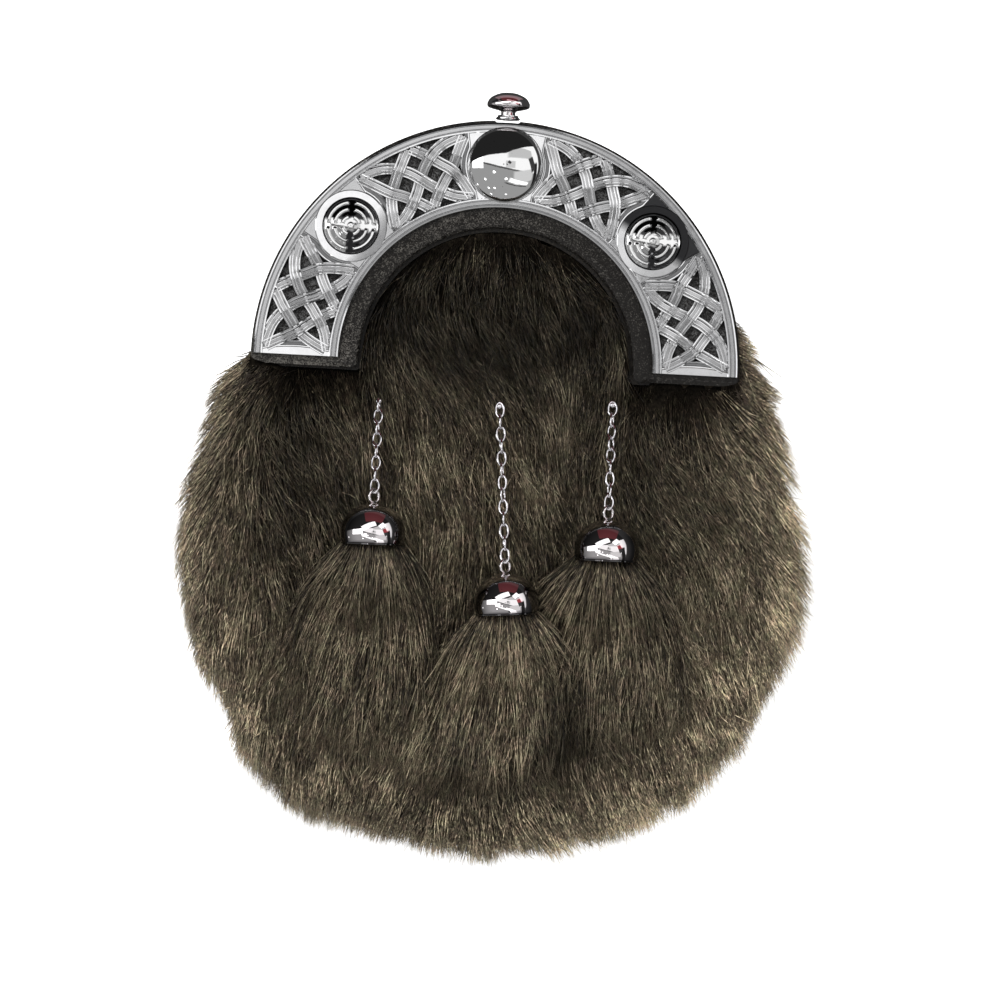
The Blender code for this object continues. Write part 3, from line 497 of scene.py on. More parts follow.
def makeStrand(run, panel, side):
    # knot strand: u and v give angle and radius, the level a height that swings smoothly over and under
    sign = 1.0 if side < 0 else -1.0
    u, v, level = run.T
    flat = polar(cantle["bandMid"] + v * cantle["bandHalf"], panel["mid"] - u * panel["half"], side)
    top = cantle["plate"] + cantle["rise"] + sign * cantle["step"] * np.clip(level, -1, 1)
    step = unit(np.diff(flat, axis=0))
    after = np.vstack([step, step[-1:]])
    along = unit(np.vstack([step[:1], step]) + after)
    stretch = 1.0 / np.maximum(0.62, (along * after).sum(1))
    width = strandShape[:, 0] * stretch[:, None] * cantle["strandWidth"] / 3.1
    width = np.concatenate([width[:, :1], width, width[:, -1:]], 1)
    height = np.pad(top[:, None] + strandShape[:, 1], ((0, 0), (1, 1)))
    points, faces = swept(lifted(flat, cantle["back"] + 0.03), lifted(leftOf(along), 0.0), upward,
                          np.stack([width, height], -1))
    # a turn that reaches a rail goes in under it
    reach = np.hypot(points[:, 0], points[:, 1] - archY)
    under = np.clip(np.abs(reach - cantle["bandMid"]) - cantle["bandHalf"] + 0.42, 0, 0.12) / 0.12
    points[:, 2] = np.minimum(points[:, 2], cantle["back"] + cantle["plate"] + 1.0 - 1.2 * under)
    # painted shade: a strand is darker where it dips under another
    low = 0.30 * np.clip(-sign * level, 0, 1)[:, None]
    patinaAndShade = np.concatenate([[0.9], strandShape[:, 2], [0.9]]) + low
    return (points, faces), withEnds(np.clip(patinaAndShade, 0, 1).ravel())


def knotRuns():
    # two strands run through the middle, two turn back at a blunt elbow; each pair mirrors across the panel
    half, arm = spline(throughHalf, 6), spline(elbowHalf, 6)
    full = np.vstack([-half[:0:-1], half])
    full[:len(half) - 1, 2] *= -1
    bent = np.vstack([arm[::-1] * (-1, 1, -1), arm[1:]])
    return [base * (1, flip, flip) for base in (full, bent) for flip in (1, -1)]


def makeCantle():
    # rails, the ground between the panels, and in each panel four strands and the lines along its ends
    upper, lower = (panelEnds(panel, fieldRadius) for panel in panels)
    parts = [makeRail(cantle["outer"] - rails[:, 0], rails), makeRail(cantle["inner"] + rails[::-1, 1], rails[::-1])]
    for side in (-1.0, 1.0):
        parts.append(makeField(upper[1], lower[0], side, shaded=True))
        parts.append(makeField(lower[1], np.full(len(fieldRadius), 90.0), side, 6))
        for panel in panels:
            parts += [makeStrand(run, panel, side) for run in knotRuns()]
            parts += [makeEdgeBand(panel, which, side) for which in (0, 1)]
    parts.append(makeField(-upper[0], upper[0], 1.0))
    makePiece("cantle_casting", joined([p for p, v in parts]), castMetal, ["cantle"], sharp=28,
              values={"patinaAndShade": np.concatenate([v for p, v in parts])})


boss = dict(front=32.8, centreRadius=12.0, centreHeight=5.6, skirt=0.7, sideRadius=8.7, sideHeight=2.0, base=0.3,
            relief=0.45, ridgeSlope=0.02, ridgeEdge=0.028)
# ridges: inner and outer radius as a share of the boss, half gap in degrees (below 0 is unbroken)
bossRings = [(0.0, 0.13, -9.0), (0.26, 0.40, 15.0), (0.51, 0.65, 9.0), (0.76, 0.895, 6.0), (0.95, 1.0, -9.0)]
# seat across: radius, height, patina and painted shade
seatShape = np.array([(8.72, -0.3, 0.9), (8.74, 0.02, 0.95), (9.0, 0.36, 0.95), (9.06, 0.44, 0.0), (11.1, 0.40, 0.0),
                      (11.3, 0.30, 0.2), (11.4, 0.0, 0.5), (11.4, -0.3, 0.6)])


def makeCentreDome():
    # quarter ellipse with a short skirt, turned about the front axis
    a = np.linspace(0, np.pi / 2, 22)
    wide, skirt = boss["centreRadius"], boss["skirt"]
    arc = np.column_stack([wide * np.cos(a) * 0.985, skirt + (boss["centreHeight"] - skirt) * np.sin(a)])
    arc[-1, 0] = 0.0
    profile = np.vstack([[(0.0, 0.0), (wide - 0.2, 0.0), (wide, 0.15), (wide, 0.55)], arc])
    makePiece("centre_dome", turned(profile, 96, lifted(polar(cantle["bandMid"], 0.0), boss["front"])), mirrorMetal,
              ["centre_boss"])


def makeRingBoss(word, side):
    # dome whose height falls with the square of the radius; its ridges stand up, broken at four gaps
    at = polar(cantle["bandMid"], cantle["bossAngle"], side)
    count, swell, edge = 120, boss["sideHeight"] - boss["base"], boss["ridgeEdge"]
    share = np.linspace(1.0, 0.0, 46)[:-1, None]
    angle = np.linspace(0, 2 * np.pi, count, endpoint=False)[None, :] + math.atan2(at[1] - archY, at[0])
    away = np.abs((np.degrees(angle) + 45) % 90 - 45)
    bed = boss["base"] + swell * (1 - share ** 2)
    crest, rise = bed + boss["relief"], np.zeros((len(share), count))
    for low, high, gap in bossRings:
        # each ridge has a nearly level top
        inRing = np.clip((share - low) / edge, 0, 1) * np.clip((high - share) / edge, 0, 1)
        middle = 0.5 * (low + high)
        slope = boss["ridgeSlope"] * (share - middle) * boss["sideRadius"]
        crest = np.where(inRing > 0, boss["base"] + swell * (1 - middle ** 2) + boss["relief"] - slope, crest)
        rise = np.maximum(rise, inRing * np.clip((away - gap) / 4.0, 0, 1))
    rise = np.maximum(rise, np.clip((bossRings[0][1] - share) / edge, 0, 1))
    flat = at + (boss["sideRadius"] * share)[..., None] * rays(angle)
    grid = np.concatenate([lifted(flat[:1], boss["front"]), lifted(flat, boss["front"] + bed + (crest - bed) * rise)])
    surface = capped(grid, [*at, boss["front"]], [*at, boss["front"] + boss["sideHeight"] + boss["relief"]])
    # painted reflection: its ground is painted nearly black, as if mirroring a dark room, but for a wavy line through
    # the middle, and only a quarter as dark on part of it
    up, across = share * np.sin(angle), share * np.cos(angle)
    wavy = 0.17 + 0.04 * np.sin(9.0 * across + 2.0) + 0.03 * np.sin(23.0 * across)
    ground = 0.97 * np.clip((np.abs(up - 0.04) - wavy) / 0.06, 0, 1)
    ground = ground * np.where((across < -0.15) & (up < 0.2), 0.24, 1.0)
    ground = (ground * np.clip(1.4 - 1.6 * rise, 0, 1)).ravel()
    makePiece("ring_boss_" + word, surface, bossMetal, ["boss_" + word], sharp=40,
              values={"patinaAndShade": np.concatenate([np.full(count, 0.9), ground, [0.9, 0.0]])})
    # seat: a polished ring round the boss, a little lower at its outer edge
    seat = turned(seatShape[:, :2], 96, lifted(at, cantle["back"] + cantle["plate"]))
    # painted reflection: the right seat takes the painted shade of the ground beside it, the left one is painted
    # darker towards its lower right
    if side > 0:
        paintedSeatShade = bossShade(seat[0], side) + 0.02
    else:
        paintedSeatShade = 0.5 * np.clip(((seat[0][:, :2] - at) @ (0.87, -0.5) / boss["sideRadius"] - 0.5) / 0.6, 0, 1)
    makePiece("ring_boss_" + word + "_seat", seat, castMetal, sharp=20,
              values={"patinaAndShade": np.maximum(np.repeat(seatShape[:, 2], 96), paintedSeatShade)})


knob = dict(z=29.6, segments=64, dull=0.15)
knobProfile = [(0.0, 78.0), (2.0, 78.0), (2.2, 78.15), (2.25, 79.2), (2.35, 80.0), (3.0, 80.35), (4.4, 80.7),
               (5.9, 81.1), (6.6, 81.5), (6.75, 82.0), (6.72, 82.7), (6.45, 83.3), (5.9, 84.1), (5.1, 84.75),
               (4.0, 85.3), (2.8, 85.75), (1.4, 86.0), (0.0, 86.1)]
collarProfile = [(2.7, 77.5), (3.65, 77.5), (3.8, 77.62), (3.8, 77.98), (3.65, 78.12), (3.4, 78.2), (3.3, 78.35),
                 (3.3, 78.68), (3.2, 78.8), (2.7, 78.8)]


def makeKnob():
    # head and collar: profiles turned about the Y axis through the knob
    head = np.vstack([knobProfile[:1], spline(knobProfile[1:], 4)])
    for name, profile, metal, node, body, sharp, dull in (
            ("knob_head", head, bellMetal, "clasp_knob", "knob", 50, 0.0),
            ("knob_base", collarProfile, castMetal, "knob_collar", "pouch", 35, knob["dull"])):
        shape = turned(profile, knob["segments"], np.array([0.0, archY, knob["z"]]), (0, 1, 0))
        makePiece(name, shape, metal, [node], body=body, sharp=sharp,
                  values={"patinaAndShade": np.full(len(shape[0]), dull)})


makeCantle()
makeCentreDome()
makeRingBoss("left", -1.0)
makeRingBoss("right", 1.0)
makeKnob()
print("metal front ready")

# facing across, from the inner lip to the outer edge: way in from each edge, heights over its back
facing = dict(outer=77.2, inner=43.2, low=-3.0, back=28.6, thick=2.0, notchHalf=3.4, notchDepth=1.05, outerTurn=6.0,
              innerTurn=3.0, lip=[0.5, 0.1, 0.0, 0.06, 0.35, 0.9, 1.6, 2.9], flat=(4.6, 1.4), edge=[0.8, 0.22, 0.0],
              lipHeight=[0.0, 0.55, 1.15, 1.65, 2.02, 2.32, 2.46, 2.40], edgeHeight=[1.95, 1.7, 0.9])


def makeFacing():
    # the band's cross-section carried round the arch and straight down to the foot strips' lower edge;
    # its inner edge is a rolled lip
    inner, outer = facing["inner"], facing["outer"]
    angle = np.concatenate([np.full(6, -90.0), np.linspace(-90, 90, 241)[1:-1], np.full(6, 90.0)])
    fall = np.linspace(0, facing["low"], 6)
    drop = np.concatenate([fall[::-1], np.zeros(239), fall])
    flat = np.linspace(inner + facing["flat"][0], outer - facing["flat"][1], 9)
    r = np.concatenate([inner + np.array(facing["lip"]), flat, outer - np.array(facing["edge"])])
    top = facing["back"] + np.concatenate([facing["lipHeight"], np.full(9, facing["thick"]), facing["edgeHeight"]])
    spot = polar(r[None, :], angle[:, None])
    # shallow notch in the outer edge behind the knob
    dip = facing["notchDepth"] * np.clip((facing["notchHalf"] + 0.6 - np.abs(spot[..., 0])) / 0.6, 0, 1)
    cut = np.clip(r[None, :] - (outer - dip * (spot[..., 1] > archY)), 0, None)
    spot -= (polar(1.0, angle) - [0.0, archY])[:, None] * cut[..., None]
    # the foot strips' lower corners are rounded
    endRound = np.maximum(np.clip((r - outer + facing["outerTurn"]) / facing["outerTurn"], 0, 1),
                          np.clip((inner + facing["innerTurn"] - r) / facing["innerTurn"], 0, 1))
    spot[..., 1] += drop[:, None] * (0.15 + 0.85 * np.sqrt(1 - endRound ** 2))
    under = lifted(np.stack([spot[:, -1], 0.5 * (spot[:, 0] + spot[:, -1])], 1), facing["back"])
    grid = np.concatenate([lifted(spot, top[None, :]), under], 1)
    piece = makePiece("leather_facing", capped(grid, grid[0].mean(0), grid[-1].mean(0)), lipLeather, ["facing"],
                      sharp=60)
    # greyer, unworn leather behind the pierced panels
    piece.data.materials.append(backingLeather)
    centres = np.zeros(len(piece.data.polygons) * 3)
    piece.data.polygons.foreach_get("center", centres)
    x, y, z = centres.reshape(-1, 3).T / mm
    reach = np.hypot(x, y - archY)
    behind = (reach > cantle["inner"] + 0.6) & (reach < cantle["outer"] - 0.5)
    behind &= (y > archY) & (z > facing["back"] + 0.5)
    piece.data.polygons.foreach_set("material_index", behind.astype(np.int32))


def stitchRow(path, up, length, gap, size):
    # short rounded stitches laid end to end along a path
    up, ring = np.asarray(up), 6
    run = np.concatenate([[0.0], np.cumsum(np.linalg.norm(np.diff(path, axis=0), axis=1))])
    count = int(run[-1] // (length + gap))
    start = (np.arange(count) + 0.5) * (run[-1] / count) - length / 2
    t = np.linspace(0, 1, ring)
    spots = (start[:, None] + t * length).ravel()
    centre = np.stack([np.interp(spots, run, path[:, k]) for k in range(3)], -1).reshape(count, ring, 3)
    side = unit(np.cross(unit(np.gradient(centre, axis=1)), up))
    fat = size * np.sqrt(np.clip(1 - (2 * t - 1) ** 4, 0.04, 1)) / 2
    centre = centre + up * (0.5 * size * np.sin(np.pi * t) - 0.12)[None, :, None]
    a = np.linspace(0, 2 * np.pi, ring, endpoint=False)
    rings = (centre[:, :, None] + side[:, :, None] * (fat[:, None] * np.cos(a))[None, ..., None]
             + up * (fat[:, None] * np.sin(a))[None, ..., None])
    caps = np.array([[0, 5, 4, 1], [4, 3, 2, 1], [30, 31, 34, 35], [31, 32, 33, 34]])
    one = np.concatenate([gridFaces(ring, ring, False, True), caps])
    every = (one[None] + (np.arange(count) * ring * ring)[:, None, None]).reshape(-1, 4)
    return outward((rings.reshape(-1, 3), every))


def makeFootStitches():
    # one row along each foot strip, under the cantle
    rows = []
    for side in (-1.0, 1.0):
        ends = np.array([(side * 46.0, archY - 1.6, 30.62), (side * 75.6, archY - 1.6, 30.62)])
        path = ends[0] + (ends[1] - ends[0]) * np.linspace(0, 1, 40)[:, None]
        rows.append(stitchRow(path, upward, 1.5, 0.9, 0.4))
    makePiece("foot_stitches", joined(rows), blackThread, sharp=0)


pouch = dict(topRadius=76.5, wall=2.0, rim=26.0, backUpper=6.8, turn=8.0, middle=-30.0, easeFrom=-42.0, easeOver=34.0,
             seamIn=11.0)
# sides: height, half width
pouchSides = [(0.0, 76.5), (-20.0, 79.5), (-42.0, 84.5), (-64.0, 86.5), (-86.0, 83.5), (-106.0, 74.5), (-122.0, 60.0),
              (-134.0, 41.0), (-141.0, 20.0), (-143.0, 0.0)]
pouchMid = np.array([0.0, archY + pouch["middle"]])


def pouchReach(angle):
    # distance from the pouch's middle to its outline in each direction
    top = polar(pouch["topRadius"], np.linspace(-90, 90, 90))
    right = spline([(w, archY + h) for h, w in pouchSides], 8)[1:]
    gap = np.vstack([top, right, (right * (-1, 1))[::-1][1:]]) - pouchMid
    a = np.arctan2(gap[:, 1], gap[:, 0]) % (2 * np.pi)
    order = np.argsort(a)
    return np.interp(angle, a[order], np.linalg.norm(gap, axis=1)[order], period=2 * np.pi)


def backHeight(y):
    # flat on the floor low down, eased up behind the cantle
    return pouch["backUpper"] * eased((y - (archY + pouch["easeFrom"])) / pouch["easeOver"])


def makePouch():
    # rings from the rim down the wall, round the edge and in to the middle, outside then inside
    angle = np.linspace(0, 2 * np.pi, 180, endpoint=False)
    reach = pouchReach(angle)
    rim, turn, wall = pouch["rim"], pouch["turn"], pouch["wall"]

    def ring(inset, shrink, height, bulge=0.0):
        # the outline moved in, shrunk and bulged, at the height that a rule gives for each y
        spot = pouchMid + ((reach - inset) * shrink + bulge)[:, None] * rays(angle)
        return lifted(spot, height(spot[:, 1]))

    def corner(start, radius):
        # quarter circle from the wall to the back
        return [ring(start + radius * (1 - math.cos(a)), 1.0,
                     lambda y, a=a: backHeight(y) + start + radius * (1 - math.sin(a)))
                for a in np.linspace(0, np.pi / 2, 8)]

    outer = [ring(0.0, 1.0, lambda y: rim)]
    for s in (0.25, 0.5, 0.75):
        outer.append(ring(0.0, 1.0, lambda y: rim + (backHeight(y) + turn - rim) * s, -0.5 * math.sin(math.pi * s)))
    outer += corner(0.0, turn)
    outer += [ring(turn, s, backHeight) for s in (0.97, 0.93, 0.86, 0.76, 0.64, 0.5, 0.34, 0.16)]
    inner = [ring(wall, 1.0, lambda y: rim)] + corner(wall, turn - wall)
    inner += [ring(turn, s, lambda y: backHeight(y) + wall) for s in (0.86, 0.64, 0.34, 0.16)]
    low = backHeight(pouchMid[1])
    surface = capped(np.stack(outer[::-1] + inner), [*pouchMid, low], [*pouchMid, low + wall])
    makePiece("leather_pouch", surface, blackLeather, ["pouch_back"], sharp=50)
    # seam: a row of stitches just inside the back's turned edge
    smooth = np.linspace(0, 2 * np.pi, 721)
    seam = pouchMid + (pouchReach(smooth) - pouch["seamIn"])[:, None] * rays(smooth)
    surface = stitchRow(lifted(seam, backHeight(seam[:, 1]) + 0.42), -upward, 2.4, 1.2, 0.5)
    makePiece("back_seam", surface, blackThread, sharp=0)


loop = dict(x=36.0, y=92.0, half=19.0, slotHalf=10.5, thick=2.0)
loopAcross = np.array([(-9.0, 0.55), (-8.9, 0.25), (-8.6, 0.08), (-8.0, 0.0), (0.0, 0.0), (8.0, 0.0), (8.6, 0.08),
                       (8.9, 0.25), (9.0, 0.55)])       # offset, share that the edge is rounded in


def makeLoops():
    # keeper: its side profile, bowed off the back, extruded along X with rounded long edges
    tab = pouch["backUpper"] - 0.3
    t, s, h = loop["thick"], loop["slotHalf"], loop["half"]
    outerHalf = [(-h, tab - t), (-s - 3.6, tab - t), (-s - 1.6, 2.2), (-s + 0.6, 0.15), (-s + 4, 0.0)]
    innerHalf = [(h, tab), (s + 2.4, tab), (s + 0.2, 3.6), (s - 1.2, 2.1), (s - 4.5, t)]
    outerLine, innerLine = (spline(half + [(-x, z) for x, z in half[::-1]], 5) for half in (outerHalf, innerHalf))
    profile = np.vstack([outerLine, innerLine])
    profile[:, 1] = np.clip(profile[:, 1], 0.0, tab)
    middle = 0.5 * (outerLine + innerLine[::-1])
    middle = np.vstack([middle, middle[::-1]])
    shapes = profile[None] + (middle - profile)[None] * loopAcross[:, 1, None, None]
    for word, side in (("left", -1.0), ("right", 1.0)):
        path = np.stack([side * loop["x"] + loopAcross[:, 0], np.full(9, loop["y"]), np.zeros(9)], -1)
        surface = swept(path, np.broadcast_to([0.0, 1.0, 0.0], path.shape), upward, shapes)
        makePiece("keeper_" + word, surface, blackLeather, ["strap_loop_" + word], sharp=50)


makeFacing()
makeFootStitches()
makePouch()
makeLoops()
nodes["pouch_front"].data.materials.clear()
nodes["pouch_front"].data.materials.append(blackLeather)
print("leather ready")

# tassels: top of the chain, height of the pelt there, bell's ring, turn of the links in degrees, and of the fur
# where its middle ends, how wide it opens and how much painted light it takes
hangs = [
    dict(side="left", top=(-35.8, -14.4), seat=33.9, bell=(-35.4, -43.2), twist=10.0,
         foot=(-42.0, -124.5), spread=25.0, light=1.55),
    dict(side="middle", top=(2.3, -14.1), seat=36.0, bell=(6.5, -62.9), twist=35.0,
         foot=(8.5, -134.5), spread=25.0, light=2.20),
    dict(side="right", top=(37.5, -10.6), seat=33.4, bell=(37.7, -44.6), twist=60.0,
         foot=(37.5, -120.5), spread=30.0, light=1.50),
]
link = dict(length=5.44, width=3.4, wire=0.8, pitch=3.84, stapleHeight=3.2, hook=3.38)
bell = dict(radius=10.1, height=13.0, wall=1.0, crown=2.2, axis=46.9, ringSize=5.0, ringWire=1.0, skirtFrom=0.70)
# bell's skirt and rolled lip: way in from the radius, share of the height
bellSkirt = [(-0.01, 0.76), (0.06, 0.82), (0.2, 0.88), (0.38, 0.93), (0.42, 0.945), (0.18, 0.96), (0.2, 0.985),
             (0.5, 1.0), (0.9, 1.0), (1.25, 0.98)]


def wireLoop(centre, along, across, length, width, wire, segments=24, sides=8):
    # round wire carried round an ellipse
    halfLong, halfWide = (length - wire) / 2, (width - wire) / 2
    a = 2 * np.pi * np.arange(segments) / segments
    path = centre + along * (halfLong * np.cos(a))[:, None] + across * (halfWide * np.sin(a))[:, None]
    spoke = unit(along * (halfWide * np.cos(a))[:, None] + across * (halfLong * np.sin(a))[:, None])
    shape = 0.5 * wire * rays(2 * np.pi * np.arange(sides) / sides)
    return swept(path, spoke, np.cross(along, across), shape, closedPath=True)


def hangFrame(hang):
    # chain's top, ring's centre, unit vector from the one to the other on the flat, and the one across it
    top, at = (np.array([hang[key][0], archY + hang[key][1], 0.0]) for key in ("top", "bell"))
    down = unit(at - top)
    return top, at + upward * bell["axis"], down, np.array([-down[1], down[0], 0.0])


def makeChain(hang):
    # links laid from the bell's ring up to the staple at one pitch, every other one turned a quarter
    top, ringAt, _, wide = hangFrame(hang)
    staple = top + upward * (hang["seat"] + link["stapleHeight"])
    slope = unit(ringAt - staple)
    rise = np.cross(slope, wide)
    rise *= np.sign(rise[2])
    last = ringAt - slope * link["hook"]
    parts = []
    for n in range(int(np.linalg.norm(last - staple) // link["pitch"]) + 1):
        centre = last - slope * link["pitch"] * n
        turn = math.radians(hang["twist"] * math.sin(0.8 * n + hang["twist"]) * 0.5 + (8 if n % 2 == 0 else -82))
        across = wide * math.cos(turn) + rise * math.sin(turn)
        parts.append(wireLoop(centre, slope, across, link["length"], link["width"], link["wire"]))
    foot = centre - slope * 1.2
    high = foot[2] - hang["seat"]
    post = [(0.0, 0.0), (1.1, 0.0), (1.1, high - 0.4), (0.7, high + 0.2), (0.0, high + 0.3)]
    parts.append(turned(post, 16, np.array([foot[0], foot[1], hang["seat"]])))
    makePiece("chain_links_" + hang["side"], joined(parts), wireMetal, ["chain_" + hang["side"]],
              sharp=50)


def makeBell(hang):
    # hollow cup: round crown, a skirt that turns in to a rolled lip, and the inside back to the crown;
    # its lower side and its rolled lip are darkened with painted shade
    _, ringAt, down, wide = hangFrame(hang)
    crown = ringAt + down * bell["crown"]
    r, h, w = bell["radius"], bell["height"], bell["wall"]
    a, skirtAt = np.linspace(0, np.pi / 2, 20), bell["skirtFrom"] * h
    outside = np.column_stack([r * np.sin(a), skirtAt * (1 - np.cos(a))])
    inside = np.column_stack([(r - w - 0.3) * np.sin(a), w + (skirtAt - w) * (1 - np.cos(a))])[::-1]
    cup = turned(np.vstack([outside, [(r - x, share * h) for x, share in bellSkirt], inside]), 72, crown, down, wide)
    size = bell["ringSize"]
    ring = wireLoop(ringAt, down, (wide - upward) * math.sqrt(0.5), size, size, bell["ringWire"])
    reach = (cup[0] - crown) @ down / h
    patinaAndShade = np.clip((0.88 - (cup[0][:, 2] - crown[2]) / r) / 0.26, 0, 1) * np.clip((reach - 0.1) / 0.3, 0, 1)
    patinaAndShade = 0.9 * np.clip(np.maximum(patinaAndShade, (reach - 0.90) / 0.05), 0, 1)
    makePiece("bell_cup_" + hang["side"], joined([cup, ring]), bellMetal, ["bell_" + hang["side"]],
              sharp=50, values={"patinaAndShade": np.concatenate([patinaAndShade, np.zeros(len(ring[0]))])})
    return crown + down * h


mouths = []
for hang in hangs:
    makeChain(hang)
    mouths.append(makeBell(hang))
print("chains and bells ready")

pelt = dict(strands=57500, length=32.0, clump=2.1, tuft=9.0, width=0.33, centre=-50.0, seed=7, archRadius=42.6,
            step=-3.4, flowBlur=8.5, hairTurn=7.5, clumpTurn=9.0, tuftTurn=10.0, panelZ=28.6, rootZ=28.8,
            archOver=27.0, footOuter=73.0, byLeather=9.0, thin=0.50, wildShare=0.22, wildTurn=2.6, tuftPull=0.48,
            clumpPull=0.56, raggedTuft=0.058, raggedClump=0.024, depth=0.80, sunk=(0.35, 0.02, 0.08))
furEdge = [(78.0, -3.4), (77.4, 8.0), (75.6, 20.0), (79.4, 15.0), (82.4, 10.6), (86.2, 4.5), (90.5, -0.5),
           (95.4, -4.0), (92.5, -9.0), (94.5, -17.0), (97.5, -27.0), (102.5, -47.0), (104.6, -68.0), (101.2, -86.0),
           (96.0, -97.5), (86.5, -117.0), (73.0, -133.5), (59.5, -143.0), (39.0, -152.0), (10.0, -157.6),
           (-12.6, -157.6), (-41.0, -151.0), (-58.5, -146.0), (-74.5, -130.0), (-85.5, -108.0), (-95.5, -90.5),
           (-99.4, -63.0), (-98.8, -43.0), (-93.4, -26.0), (-90.0, -9.0), (-86.0, -2.0), (-81.0, 1.4), (-77.4, 1.6),
           (-78.0, -3.4)]
# which way the fur is combed: x, height, degrees from straight down (positive leans right)
combing = [(-8, 39, -2), (-22, 34, -42), (-34, 23, -35), (-41, 12, -12), (-46, -1, 8), (-30, 9, 25), (-18, 7, 31),
           (-2, 5, 28), (-30, -6, 36), (-14, -5, 33), (2, -8, 31), (11, 1, 35), (15, -13, 35), (-22, 20, 3),
           (-6, 23, 1), (7, 24, 11), (16, 21, 25), (26, 16, 28), (36, 12, 7), (33, 26, 39), (44, 9, 13),
           (33, 0, -19), (31, -13, -17), (29, -23, -15), (45, -6, 13), (18, -23, 7), (-88, -14, -41),
           (-73, -11, -47), (-65, -12, -5), (-54, -11, 38), (-76, -21, -22), (-66, -25, 31), (-51, -23, 41),
           (-38, -19, 5), (-42, -30, 0), (-86, -31, -37), (-76, -32, -3), (-63, -36, 36), (-47, -36, 30),
           (-29, -25, 3), (-18, -28, 5), (-28, -38, 2), (-18, -45, 16), (-8, -43, 5), (1, -36, 5), (11, -42, 10),
           (20, -43, 23), (-89, -50, -39), (-82, -50, -25), (-73, -48, -5), (-64, -51, 32), (-51, -52, 25),
           (-29, -47, 11), (-89, -69, -35), (-81, -69, -15), (-72, -67, 6), (-63, -65, 29), (-52, -71, 9),
           (-82, -85, -21), (-72, -84, -2), (-62, -84, -2), (-43, -83, -5), (-28, -76, 8), (-77, -100, -9),
           (-65, -103, -15), (-50, -102, -9), (-33, -101, -9), (-71, -122, -16), (-60, -126, -6), (-48, -130, -3),
           (-39, -136, -13), (-27, -139, -21), (-32, -120, -6), (-13, -129, -23), (-3, -134, -3), (6, -137, 13),
           (17, -136, 25), (28, -136, 30), (40, -134, 24), (53, -130, 20), (62, -123, 21), (71, -115, 27),
           (80, -106, 29), (-17, -66, 0), (-18, -81, -11), (-15, -103, -21), (-7, -65, -1), (4, -102, -1),
           (12, -74, 9), (22, -63, 17), (26, -101, -5), (41, -97, -1), (55, -12, -33), (65, -11, -25), (74, -11, 45),
           (85, -10, 49), (50, -21, 29), (58, -22, 19), (66, -22, 27), (77, -20, 41), (88, -19, 44), (56, -33, 36),
           (68, -33, 34), (79, -32, 37), (93, -31, 40), (48, -42, 34), (59, -46, 35), (71, -45, 28), (83, -46, 35),
           (97, -47, 45), (57, -60, 29), (69, -63, 13), (81, -62, 27), (96, -61, 45), (70, -74, 13), (80, -75, 11),
           (91, -76, 29), (99, -77, 39), (69, -88, 18), (80, -87, 25), (91, -88, 31), (70, -102, 15), (82, -98, 24),
           (32, -35, -5), (39, -31, -1), (47, -84, 15), (8, -118, 1), (36, -118, 9), (52, -112, 11), (79, -3, 68),
           (85, 2, 78), (90, -2, 80), (96, -8, 60), (92, -18, 50), (98, -28, 46), (-79, -5, -66), (-86, -4, -68),
           (-92, -14, -56), (-95, -28, -50)]
# fur's height by the share of the way out to the wall, by the share from there to the tips, and its lowest there
levels = dict(inside=[(0, 36.0), (0.3, 36.0), (0.6, 35.6), (0.84, 34.0), (1.0, 32.4)],
              past=[(0, 32.4), (0.12, 31.0), (0.6, 22.0), (1.0, 11.0), (1.3, 6.0)],
              low=[(-0.4, 28.8), (0.0, 25.0), (0.35, 15.0), (1.0, 8.0), (1.3, 4.0)], top=36.0, archFall=4.8)


def rayReach(ring, centre, angles):
    # farthest crossing of each ray from the centre with a closed outline
    d = rays(angles)[:, None]
    p, q = ring - centre, np.roll(ring, -1, axis=0) - centre
    cp, cq = (v[:, 0] * d[..., 1] - v[:, 1] * d[..., 0] for v in (p, q))
    t = cp / (cp - cq + 1e-15)
    s = ((p + (q - p) * t[..., None]) * d).sum(-1)
    return np.where((cp * cq <= 0) & (s > 0), s, 0).max(1)


rayAngles = np.linspace(0, 2 * np.pi, 1440, endpoint=False)
furCentre = np.array([0.0, archY + pelt["centre"]])
limit, stepY = pelt["archRadius"], archY + pelt["step"]
archRing = np.vstack([[(-limit, stepY), (-limit, archY)], polar(limit, np.linspace(-88, 88, 60)),
                      [(limit, archY), (limit, stepY)]])
furRing = np.vstack([spline([(x, archY + y) for x, y in furEdge], 6), archRing])
tipReach = rayReach(furRing, furCentre, rayAngles)
wallRing = pouchMid + pouchReach(rayAngles)[:, None] * rays(rayAngles)
wallReach = rayReach(wallRing, furCentre, rayAngles)


def tipAndWall(angle):
    # distances from the fur's centre to the tips and to the leather wall
    return tuple(np.interp(angle, rayAngles, reach, period=2 * np.pi) for reach in (tipReach, wallReach))


def aroundFur(spot):
    # angle and distance from the fur's centre, with the tip and wall distances that way
    gap = spot - furCentre
    a = np.arctan2(gap[..., 1], gap[..., 0]) % (2 * np.pi)
    return a, np.hypot(gap[..., 0], gap[..., 1]), *tipAndWall(a)


def waves(spot, size, seed, count=7):
    # smooth noise between about -1 and 1: a sum of sine waves in random directions
    rng = np.random.default_rng(seed)
    total = np.zeros(spot.shape[:-1])
    for _ in range(count):
        a, f, ph = rng.uniform(0, 2 * np.pi), rng.uniform(0.7, 1.5) * 2 * np.pi / size, rng.uniform(0, 2 * np.pi)
        total += np.sin((spot[..., 0] * math.cos(a) + spot[..., 1] * math.sin(a)) * f + ph)
    return total / (0.75 * math.sqrt(count) * 1.4)


